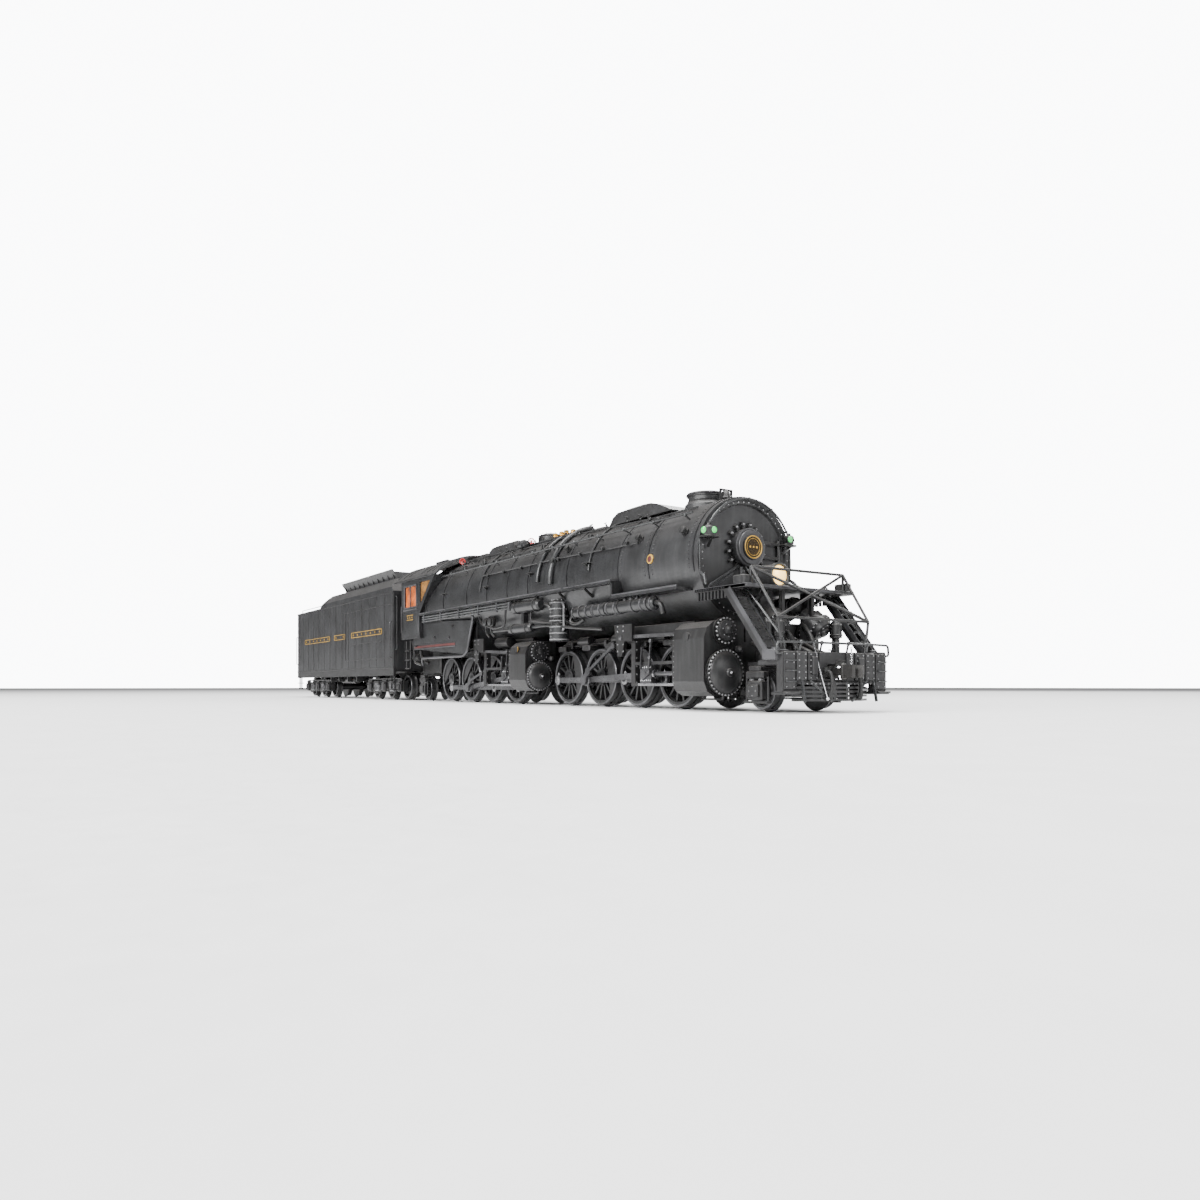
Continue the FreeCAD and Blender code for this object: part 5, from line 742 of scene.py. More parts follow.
def cab_dressing():
    """Windows, rivets, lining, roof ribs, steps and backhead fittings."""
    with Piece("cab_window_frames", "root", EDGE_WEAR_AND_HIGHLIGHT) as p:
        for side in SIDES:
            y0, y1 = side * 33.8, side * 34.5
            for low, high in (((-42.8, 69.6), (-18.2, 70.6)), ((-42.8, 86.0), (-18.2, 87.0)),
                              ((-42.8, 70.0), (-41.8, 86.6)), ((-19.2, 70.0), (-18.2, 86.6)),
                              ((-31.0, 70.4), (-30.2, 86.2))):
                p.block((low[0], y0, low[1]), (high[0], y1, high[1]), 0.15)
            p.tube([(-47.8, side * 34.6, 52.0), (-47.8, side * 34.6, 72.0)], 0.35, 6)
            p.tube([(-13.6, side * 34.5, 50.0), (-13.6, side * 34.5, 63.0)], 0.35, 6)
            p.block((-44.0, y0, 68.0), (-17.0, side * 34.9, 69.0), 0.2)
    with Piece("cab_windows", "root", CAB_GLOW) as p:
        for side in SIDES:
            p.block((-42.0, side * 32.6, 70.2), (-19.0, side * 33.0, 86.4), 0.1)
    with Piece("cab_quarter_windows", "root", AMBER) as p:
        for side in SIDES:
            p.slab("y", min(side * 32.9, side * 33.3), max(side * 32.9, side * 33.3),
                   [(-12.4, 71.8), (-10.2, 71.8), (7.4, 87.7), (-12.4, 87.7)], 0.1)
    with Piece("cab_rivets", "root", TENDER) as p:
        for side in SIDES:
            way = (0, side, 0)
            for start, end, count in (((-48, 47.8), (-14, 47.8), 16), ((-48.0, 66.6), (-14.0, 66.6), 16),
                                      ((-48.2, 50), (-48.2, 89), 18), ((-15.0, 68), (-15.0, 89), 10),
                                      ((-48, 89.6), (12, 89.6), 26)):
                p.stud_row((start[0], side * 34.0, start[1]), (end[0], side * 34.0, end[1]), count, way,
                    0.3, 0.28)
    with Piece("cab_gold_lining", "root", GOLD) as p:
        for side in SIDES:
            for z in (60.6, 64.0):
                p.block((-37.6, side * 33.9, z), (-25.6, side * 34.25, z + 0.55), 0.08)
            for x in (-36.0, -31.6, -27.2):
                p.turned((x, side * 33.95, 62.6), (0, side, 0), [(0, 0.75), (0.25, 0.75), (0.35, 0.5)], 4)
    with Piece("cab_roof_ribs", "root", BOILER) as p:
        for x in (-62.6, -50.0, -39.6, -15.4, -4.0, 6.0, 16.2):
            p.hoop(x, 1.0, ROOF_R, 0.5, -41, 41, ROOF_Z, 30)
        p.block((-38.6, -10.2, 105.0), (-16.6, -9.2, 106.9))
        p.block((-38.6, 9.2, 105.0), (-16.6, 10.2, 106.9))
        for x in (-36, -31, -26, -21):
            p.bar((x, -9.0, 106.7), (x, 9.0, 106.7), 0.8, 0.5)
        for side in SIDES:
            p.block((-63.2, side * 33.9, 90.6), (16.8, side * 34.9, 91.6), 0.2)
    with Piece("cab_lower_fittings", "root", CHASSIS) as p:
        for side in SIDES:
            y = side * 31.0
            p.tube([(-46.0, y, 46.0), (-46.0, y, 24.0)], 0.5, 6)
            p.tube([(-38.0, y, 46.0), (-38.0, y, 24.0)], 0.5, 6)
            for z in (24.5, 31.0, 38.0):
                p.block((-46.4, side * 28.6, z - 0.4), (-37.6, side * 32.4, z + 0.4), 0.12)
            p.tube(bent([(-34.0, y, 45.0), (-30.0, y, 36.0), (-30.0, y, 29.0), (-16.0, y, 26.5)], 3), 0.8)
            p.tube(bent([(-24.0, side * 29.0, 46.0), (-22.0, side * 29.0, 33.0),
                (-12.0, side * 27.0, 28.0)], 3), 1.1)
            p.turned((-33.0, side * 27.0, 33.0), X_WAY, [(-6, 1.0), (-5.4, 2.7), (5.4, 2.7), (6, 1.0)], 16)
            p.valve((-24.0, side * 30.5, 41.0), (0, side, 0), 1.0)
    with Piece("backhead_gauges", "root", BRASS) as p:
        for y, z, radius in ((-6, 88, 1.8), (0, 90, 2.1), (6, 88, 1.8), (12, 84, 1.5), (-12, 84, 1.5)):
            p.torus((-15.0, y, z), X_WAY, radius, 0.25, 20)
            p.tube([(-14.8, y, z - radius), (-14.8, y * 0.8, z - radius - 5)], 0.3, 6)
    with Piece("backhead_levers", "root", RED) as p:
        for y, z in ((-10, 74), (-4, 76), (9, 72)):
            p.handwheel((-17.5, y, z), X_WAY, 1.6)
            p.tube([(-17.4, y, z), (-14.2, y, z)], 0.35, 6)


# ---------------------------------------------------------------- front engine: cylinders, platform, pilot


def cylinder_dressing(name, body, front, low_ring, valve_ring, valve_z, side_y, casing_back, casing_z,
        emblem_x):
    """Bolted heads, relief valves, emblem and casing rivets of one pair of cylinders."""
    with Piece(name + "_head_bolts", body, BOLTS) as p:
        for side in SIDES:
            y = side * CYLINDER_Y
            p.stud_ring((front - 0.05, y, CYLINDER_Z), X_WAY, low_ring - 0.1, 34, 0.48, 0.7)
            p.stud_ring((front - 0.05, y, valve_z), X_WAY, valve_ring, 18, 0.46, 0.7)
            p.stud_ring((front + 0.9, y, valve_z), X_WAY, valve_ring * 0.5, 6, 0.35, 0.5)
            p.stud_row((casing_back + 1, side * side_y, casing_z[0] + 6),
                       (casing_back + 1, side * side_y, casing_z[1] - 6), 10, (0, side, 0), 0.28, 0.16)
    with Piece(name + "_heads", body, FRONT) as p:
        for side in SIDES:
            y = side * CYLINDER_Y
            p.turned((front - 0.3, y, CYLINDER_Z), X_WAY,
                [(0, low_ring - 0.5), (0.7, low_ring - 0.8), (1.7, low_ring * 0.76),
                     (2.5, low_ring * 0.46), (2.9, low_ring * 0.2), (3.6, low_ring * 0.17),
                         (3.8, low_ring * 0.1)], 44)
            p.turned((front - 0.3, y, valve_z), X_WAY, [(0, valve_ring - 0.9), (1.2, valve_ring - 1.0),
                     (1.3, valve_ring * 0.36), (2.4, valve_ring * 0.34), (2.8, valve_ring * 0.2)], 30)
            p.torus((front - 0.3, y, CYLINDER_Z), X_WAY, low_ring + 0.1, 0.3, 48)
            p.tube(bent([(front - 2, y, CYLINDER_Z - low_ring - 0.4),
                (front - 2, y, CYLINDER_Z - low_ring - 1.8),
                         (front - 16, y, CYLINDER_Z - low_ring - 1.8)], 1), 0.45, 6)
            p.turned((front - 1.4, y - side * 7.6, CYLINDER_Z + 10.4), X_WAY,
                [(0, 1.5), (2.6, 1.5), (3.0, 1.0), (3.4, 0.6)], 10)
    with Piece(name + "_head_centres", body, BRIGHT) as p:
        for side in SIDES:
            p.turned((front + 3.2, side * CYLINDER_Y, CYLINDER_Z), X_WAY,
                [(0, 0.75), (0.5, 0.75), (0.8, 0.4), (0.85, 0)], 12)
    with Piece(name + "_emblems", body, GOLD) as p:
        for side in SIDES:
            place = (emblem_x, side * (side_y + 0.04), 33.0)
            p.torus(place, (0, side, 0), 1.5, 0.22, 24, 6)
            p.turned(place, (0, side, 0), [(0, 0.7), (0.15, 0.7), (0.2, 0.5)], 4)


def platform_dressing():
    """Teeth, trim, stairs handrails and supports of the front platform."""
    body = "front_engine"
    with Piece("platform_teeth", body, FRONT) as p:
        for side in SIDES:
            for x in steps_between(303.0, 321.0, 9):
                p.block((x, side * 31.6, 48.4), (x + 1.0, side * 32.9, 52.1), 0.12)
    with Piece("platform_trim", body, EDGE_WEAR_AND_HIGHLIGHT) as p:
        for side in SIDES:
            p.block((301.8, side * 32.2, 52.2), (334.0, side * 33.0, 53.7), 0.15)
            p.stud_row((303, side * 32.95, 52.8), (321, side * 32.95, 52.8), 12, (0, side, 0), 0.28, 0.25)
            p.block((333.2, side * 1.0, 52.2), (334.4, side * 32.8, 53.7), 0.15)
            for y in (33.1, 25.9):
                p.bar((STAIR_TOP[0], side * y, STAIR_TOP[1]), (STAIR_FOOT[0], side * y, STAIR_FOOT[1]), 0.5,
                    2.0)
            p.block((344.0, side * 25.6, 21.6), (351.4, side * 33.4, 25.8), 0.3)
            p.turned((347.6, side * 29.4, 25.8), Z_WAY, [(0, 1.7), (0.8, 1.7), (1.0, 1.0)], 16)
    with Piece("platform_plates", body, FRONT) as p:
        for x in steps_between(303.4, 331.0, 12):
            p.block((x, -25.0, 53.3), (x + 1.2, 25.0, 53.65), 0.1)
        for side in SIDES:
            p.block((326.0, side * 29.0, 53.4), (333.0, side * 32.8, 57.4), 0.4)
    with Piece("stair_handrails", body, RAIL) as p:
        for side in SIDES:
            p.tube(bent([(322.0, side * 26.4, 53.6), (323.0, side * 26.2, 57.0), (335.0, side * 25.4, 44.0),
                         (348.4, side * 24.8, 29.4), (348.4, side * 24.8, 21.6)], 3), 0.45)
            grip, foot = (Vector((x, side * y, z)) for x, y, z in (STEP_GRIP, STEP_FOOT))
            p.tube([grip, foot], 0.35)
            for share in steps_between(0.08, 0.92, 12):
                p.ball(grip.lerp(foot, share), 0.6, 6)
    with Piece("platform_supports", body, CHASSIS) as p:
        for side in SIDES:
            p.bar((312.0, side * 12.0, 40.0), (331.0, side * 20.0, 51.8), 1.4, 1.4)
            p.bar((331.0, side * 9.0, 21.5), (331.0, side * 9.0, 52.0), 1.8, 1.8)
            p.turned((306.0, side * 9.0, 46.6), X_WAY,
                [(0, 2.0), (1.2, 4.2), (16.0, 4.2), (18.0, 2.6), (18.6, 0)], 24)
            p.torus((312.0, side * 9.0, 46.6), X_WAY, 4.3, 0.35, 24)
            p.torus((320.0, side * 9.0, 46.6), X_WAY, 4.3, 0.35, 24)


def deck_dressing():
    """Tilted compressors and plumbing on the pilot deck."""
    body = "front_engine"
    tilt = Vector((0.70, 0.18, -0.62))
    with Piece("deck_compressors", body, FRONT) as p:
        for side in SIDES:
            way = Vector((tilt.x, tilt.y * side, tilt.z))
            foot = Vector((327.0, side * 12.0, 41.0))
            p.turned(foot, way, [(0, 4.6), (0.8, 5.4), (5.0, 5.4), (5.1, 6.4), (6.6, 6.4), (6.7, 5.2),
                (9.0, 4.6), (9.8, 2.4),
                                 (10.6, 2.2), (10.8, 1.0)], 30)
            p.turned(foot - way * 4, way, [(0, 3.2), (3.9, 3.2)], 20)
            p.tube(bent([foot + Vector((0, -side * 4, -2)), (334.0, side * 6.0, 32.0),
                (338.0, side * 5.0, 22.0)], 4), 1.1, 10)
            for dx, dy in ((0, 0), (3.8, 3.0)):
                p.turned((334.0 + dx, side * (20.5 - dy), 26.0), Z_WAY,
                    [(0, 1.3), (6.0, 1.3), (6.1, 2.3), (12.0, 2.3), (12.4, 1.8),
                         (13.6, 1.6), (14.0, 0.8)], 14)
                p.torus((334.0 + dx, side * (20.5 - dy), 33.4), Z_WAY, 2.35, 0.3, 16)
    with Piece("deck_compressor_bolts", body, BOLTS) as p:
        for side in SIDES:
            way = Vector((tilt.x, tilt.y * side, tilt.z)).normalized()
            foot = Vector((327.0, side * 12.0, 41.0))
            p.stud_ring(foot + way * 6.6, way, 5.8, 18, 0.42, 0.6)
            p.stud_ring(foot + way * 9.2, way, 3.4, 8, 0.36, 0.6)
    with Piece("deck_plumbing", body, CHASSIS) as p:
        for side in SIDES:
            p.tube(bent([(318.0, side * 14.0, 30.0), (326.0, side * 16.0, 27.0), (340.0, side * 16.5, 24.0),
                         (346.0, side * 16.5, 21.6)], 3), 0.8)
            p.tube(bent([(318.0, side * 4.0, 34.0), (330.0, side * 3.5, 30.0), (344.0, side * 3.0, 24.0)],
                3), 1.2, 10)
            p.valve((341.0, side * 10.5, 23.4), Z_WAY, 1.2)
            p.block((320.0, side * 2.0, 21.4), (330.0, side * 12.0, 29.0), 0.6)
        for x in steps_between(340.0, 347.0, 4):
            p.block((x, -30.0, 21.4), (x + 1.0, 30.0, 21.75), 0.1)


def pilot_dressing():
    """Shield panels, lift bar, chain, hoses and braces of the pilot."""
    body = "front_engine"
    with Piece("pilot_shield_panels", body, FRONT) as p:
        for side in SIDES:
            for y0, y1, z0 in ((24.2, 30.4, 9.6), (17.6, 23.4, 13.2), (11.2, 16.8, 13.2),
                    (5.8, 10.4, 14.4)):
                p.block((352.6, side * y0, z0), (353.8, side * y1, BEAM_TOP), 0.3)
            p.block((349.0, side * 23.6, 8.0), (356.0, side * 31.0, 8.9), 0.2)
            p.block((353.4, side * 12.4, 15.6), (355.0, side * 15.6, 23.0), 0.3)
            p.block((350.0, side * 30.2, 9.0), (353.4, side * 31.2, 24.6), 0.2)
    with Piece("pilot_bolts", body, BOLTS) as p:
        for side in SIDES:
            for y0, y1, z0 in ((24.2, 30.4, 9.6), (17.6, 23.4, 13.2), (11.2, 16.8, 13.2)):
                for y in (y0 + 1.1, y1 - 1.1):
                    p.stud_row((353.8, side * y, z0 + 1.2), (353.8, side * y, BEAM_TOP - 1.0), 5, X_WAY,
                        0.36, 0.4)
            for y in steps_between(3.0, 20.0, 8):
                p.stud((356.0, side * y, 12.0), X_WAY, 0.3, 0.3)
    with Piece("pilot_lift_bar", body, RAIL) as p:
        for side in SIDES:
            p.tube(bent([(352.6, 0, 28.8), (352.6, side * 24.0, 28.8), (352.6, side * 33.2, 28.6),
                (352.6, side * 33.6, 24.0),
                         (352.6, side * 26.0, 24.2)], 1.4), 0.5)
            for y in (8.0, 20.0):
                p.tube([(350.6, side * y, 21.2), (352.6, side * y, 28.8)], 0.45, 6)
                p.ball((352.6, side * y, 28.8), 0.95, 8)
            for z in (13.0, 17.4, 21.4):
                p.tube(bent([(353.6, side * 24.8, z), (355.0, side * 24.8, z), (355.0, side * 29.8, z),
                             (353.6, side * 29.8, z)], 0.8), 0.3, 6)
    with Piece("lift_chain", body, BRIGHT) as p:
        p.tube([(353.4, -13.6, 28.6), (355.4, -12.0, 17.0), (357.0, -9.6, 6.6)], 0.28, 6)
        p.ball((357.1, -9.5, 6.0), 0.85, 10)
        for share in steps_between(0.1, 0.9, 9):
            place = Vector((355.4, 6.6, 27.6)).lerp(Vector((358.0, 3.4, 19.0)), share)
            p.torus(place, (share * 3 % 1.0, 1.0, 0.2), 0.55, 0.16, 10, 5)
    with Piece("pilot_air_hoses", body, HOSE) as p:
        for y in (-7.5, 9.0):
            p.tube(bent([(353.6, y, 17.4), (357.4, y, 16.6), (358.2, y * 1.04, 11.0),
                (357.4, y * 1.1, 7.0)], 3, 6), 0.75, 10)
            p.turned((353.4, y, 17.4), X_WAY, [(0, 1.4), (1.6, 1.4), (1.8, 1.0)], 8)
            p.turned((357.6, y * 1.09, 8.2), (-0.2, 0, -1), [(0, 1.05), (2.0, 1.05), (2.4, 0.7)], 8)
    with Piece("pilot_slat_braces", body, RAIL) as p:
        for side in SIDES:
            p.bar((356.2, side * 6.0, 4.8), (354.6, side * 17.0, 13.4), 0.8, 0.8)
            p.bar((356.2, side * 21.4, 4.6), (354.4, side * 21.4, 13.4), 0.9, 0.9)


def lead_truck_dressing():
    """Journals and springs of the lead and trailing trucks."""
    for body, x, pivot in (("lead_truck", 329.0, 316.0), ("trailing_truck", -34.0, -20.0)):
        with Piece(body + "_journals", body, FRONT) as p:
            for side in SIDES:
                y0, y1 = side * 19.4, side * 23.4
                p.block((x - 4.4, y0, 5.0), (x + 4.4, y1, 13.4), 0.6)
                p.block((x - 3.2, side * 23.2, 6.4), (x + 3.2, side * 24.4, 11.8), 0.5)
                p.block((x - 5.4, y0, 14.2), (x + 5.4, y1, 17.4), 0.5)
                p.block((x - 3.6, y0, 17.2), (x + 3.6, y1, 19.6), 0.5)
                p.bar((x - 7.0, side * 21.4, 4.2), (x + 7.0, side * 21.4, 4.2), 2.0, 1.0)
                reach = (pivot - x) * 0.4
                p.bar((x, side * 20.6, 4.4), (x + reach, side * 20.0, 6.8), 1.6, 1.6)
                p.bar((x + reach, side * 20.8, 7.4), (x + reach, side * 10.0, 8.4), 1.8, 1.8)
                for dx in (-6.4, 6.4):
                    p.tube([(x + dx, side * 21.4, 4.0), (x + dx, side * 21.4, 15.0)], 0.5, 6)
        with Piece(body + "_springs", body, BOLTS) as p:
            for side in SIDES:
                for dx in (-2.6, 2.6):
                    p.spring((x + dx, side * 21.4, 13.2), 1.8, 1.3, 0.32, 3)
                p.stud_ring((x, side * 24.3, 9.0), (0, side, 0), 2.0, 4, 0.34, 0.3, 0.5)


# ---------------------------------------------------------------- running gear


def wheel_dressing():
    """Bright tyre rims and hubs on every wheel."""
    wheels = []
    for body, members in frame["record"]["behaviour"]["bodies"].items():
        if "axle" in body:
            low, high = millimetres(members[0])
            centre_x, centre_z = (low[0] + high[0]) / 2, (low[2] + high[2]) / 2
            flange = (high[0] - low[0]) / 2
            wheels.append((body, centre_x, centre_z, flange - 1.1))
    for body, x, z, tread in wheels:
        with Piece(body + "_tyres", body, TYRES) as p:
            for side in SIDES:
                p.turned((x, side * 18.55, z), (0, side, 0),
                    [(0, tread - 1.15), (0.22, tread - 1.0), (0.22, tread - 0.25),
                                                               (0, tread - 0.05)], 56, True)
        with Piece(body + "_hubs", body, WHEELS) as p:
            for side in SIDES:
                hub = tread * 0.2
                p.turned((x, side * 18.5, z), (0, side, 0),
                    [(0, hub), (0.3, hub * 0.95), (0.35, hub * 0.6), (0.5, hub * 0.5)], 20)
                if tread < 12:
                    p.torus((x, side * 18.6, z), (0, side, 0), tread * 0.55, 0.3, 28)


def rod_dressing():
    """Pin caps and oil cups on the rods, levers and bolts on the crossheads."""
    throw_pins = {}
    for engine, axle_x, angle in MAIN_DRIVERS:
        for hand, lead in (("right", 0.0), ("left", LEFT_CRANK_LEAD)):
            turn = math.radians(angle + lead)
            throw_pins[engine + "_rods_" + hand] = (axle_x + CRANK_THROW * math.cos(turn),
                                                    DRIVER_Z + CRANK_THROW * math.sin(turn))
    for body, (x, z) in throw_pins.items():
        side = -1 if body.endswith("right") else 1
        way = (0, side, 0)
        with Piece(body + "_pin_caps", body, BOLTS) as p:
            for step in (-1, 0, 1, 2):
                deep = 0.3 if step > 0 else 0.9
                level = 22.85 if step == 0 else 20.85
                radius = 3.3 if step == 0 else 2.7
                p.turned((x + step * DRIVER_PITCH, side * level, z), way,
                         [(0, radius), (deep * 0.5, radius * 0.95), (deep * 0.6, radius * 0.6),
                             (deep, radius * 0.5)], 20)
                p.turned((x + step * DRIVER_PITCH, side * 20.0, z + 2.9), Z_WAY,
                    [(0, 0.8), (0.9, 0.8), (1.0, 0.5), (1.5, 0.4)], 8)
            for step in (-0.5, 0.5, 1.5):
                p.stud_row((x + (step - 0.09) * DRIVER_PITCH, side * 20.85, z),
                    (x + (step + 0.09) * DRIVER_PITCH, side * 20.85, z), 3,
                           way, 0.34, 0.28)
    for body in throw_pins:
        head = body.replace("rods", "crosshead")
        side = -1 if body.endswith("right") else 1
        low, _ = millimetres(head)
        wrist = low[0] + 4.6
        with Piece(head + "_lever", head, RODS) as p:
            p.bar((wrist + 3.4, side * 27.4, 17.6), (wrist + 4.8, side * 27.2, 33.4), 0.9, 0.7)
            p.turned((wrist, side * 26.7, CYLINDER_Z), (0, side, 0),
                [(0, 1.9), (0.4, 1.8), (0.5, 1.0), (0.9, 0.9)], 14)
            for z in (18.2, 25.0, 33.0):
                p.turned((wrist + 3.4 + (z - 17.6) * 0.089, side * 26.9, z), (0, side, 0),
                    [(0, 0.95), (1.1, 0.95), (1.3, 0.5)], 10)
            p.bar((wrist - 2.0, side * 27.2, 14.6), (wrist + 4.0, side * 27.2, 17.8), 0.6, 1.2)
            p.bar((wrist - 3.4, side * 27.4, 19.6), (wrist - 2.6, side * 27.2, 30.0), 0.8, 0.7)
        with Piece(head + "_bolts", head, MACHINED) as p:
            for z in (13.8, 20.2):
                p.stud_row((wrist - 3.8, side * 26.75, z), (wrist + 3.8, side * 26.75, z), 6, (0, side, 0),
                    0.4, 0.4)
            p.turned((wrist + 5.4, side * CYLINDER_Y, CYLINDER_Z), X_WAY,
                [(0, 1.3), (0.2, 2.2), (1.4, 2.2), (1.6, 1.3)], 18)


def guide_dressing():
    """Valve rods, guide faces and the piping above both engine frames."""
    for body, yoke, cylinder_back, rise in (("front_engine", 246.7, 288.5, 0.0),
            ("root", 81.2, 126.0, -3.9)):
        name = body + "_valve_gear"
        with Piece(name, body, RODS) as p:
            for side in SIDES:
                p.bar((yoke - 8.0, side * 28.0, 35.6 + rise * 0.4),
                    (cylinder_back, side * 25.4, 35.3 + rise), 1.0, 1.7)
                p.turned((yoke - 8.0, side * 28.4, 35.4 + rise * 0.4), (0, side, 0),
                    [(0, 1.4), (1.0, 1.3), (1.2, 0.6)], 12)
                p.bar((cylinder_back - 9.0, side * 25.2, 35.3 + rise),
                    (cylinder_back + 0.6, side * 25.2, 35.3 + rise), 2.2, 2.6)
        with Piece(body + "_guide_bolts", body, BOLTS) as p:
            for side in SIDES:
                for z in (28.5, 32.0, 38.6, 41.0):
                    p.stud((yoke - 10.4, side * 28.9, z), (0, side, 0), 0.5, 0.45)
                    p.stud((yoke - 5.6, side * 28.9, z), (0, side, 0), 0.5, 0.45)
                p.stud_row((yoke + 1.75, side * 26.0, 13.0), (yoke + 1.75, side * 26.0, 33.0), 6, X_WAY,
                    0.4, 0.4)
        with Piece(body + "_guide_faces", body, MACHINED) as p:
            for side in SIDES:
                p.block((yoke + 4.0, side * 26.5, 11.2), (cylinder_back - 1.2, side * 27.1, 12.5), 0.2)
                p.turned((cylinder_back - 3.2, side * CYLINDER_Y, CYLINDER_Z), X_WAY,
                    [(0, 1.5), (0.2, 2.5), (1.4, 2.5),
                         (1.6, 1.5)], 18)
    with Piece("steam_receiver_pipes", "front_engine", CHASSIS) as p:
        for side in SIDES:
            p.turned((154.0, side * 7.0, 34.6), X_WAY, [(0, 1.5), (1.0, 3.4), (128.0, 3.4), (130.0, 2.0)],
                18)
            for x in (160, 180, 200, 220, 240, 260, 278):
                p.torus((x, side * 7.0, 34.6), X_WAY, 3.45, 0.4, 18)
            for x in (170, 195, 218, 246, 268):
                p.block((x - 4.0, side * 13.0, 30.4), (x + 4.0, side * 22.0, 33.6), 0.5)
            p.block((232.0, side * 20.6, 35.6), (288.0, side * 22.2, 41.2), 0.5)
    with Piece("engine_plumbing", "front_engine", CHASSIS) as p:
        for side in SIDES:
            for y, z, radius in ((13.4, 33.0, 0.8), (15.6, 34.4, 0.6), (17.4, 33.2, 0.5)):
                p.tube(bent([(162, side * y, z), (210, side * y, z + 1.2), (284, side * y, z)], 10), radius)
            for x in (188, 222, 256):
                p.turned((x, side * 17.0, 36.0), X_WAY, [(-6, 0.8), (-5.6, 2.5), (5.6, 2.5), (6, 0.8)], 16)
                p.block((x - 13.6, side * 12.0, 32.2), (x - 11.6, side * 19.0, 35.8), 0.3)
    with Piece("frame_plumbing", "root", CHASSIS) as p:
        for side in SIDES:
            p.block((-30.0, side * 2.0, 30.6), (120.0, side * 11.0, 36.3), 0.8)
            p.block((-46.0, side * 12.0, 20.0), (-16.0, side * 16.0, 33.0), 0.8)
            p.block((74.0, side * 12.0, 30.6), (122.0, side * 15.0, 41.0), 0.8)
            for y, z, radius in ((14.4, 33.0, 0.8), (16.8, 34.0, 0.6)):
                p.tube([(76, side * y, z), (124, side * y, z)], radius)
            p.turned((96.0, side * 20.0, 39.0), X_WAY, [(-9, 1.2), (-8.4, 3.4), (8.4, 3.4), (9, 1.2)], 18)
            p.turned((100.0, side * 17.0, 50.0), X_WAY, [(-18, 1.2), (-17, 4.2), (17, 4.2), (18, 1.2)], 20)


# ---------------------------------------------------------------- tender


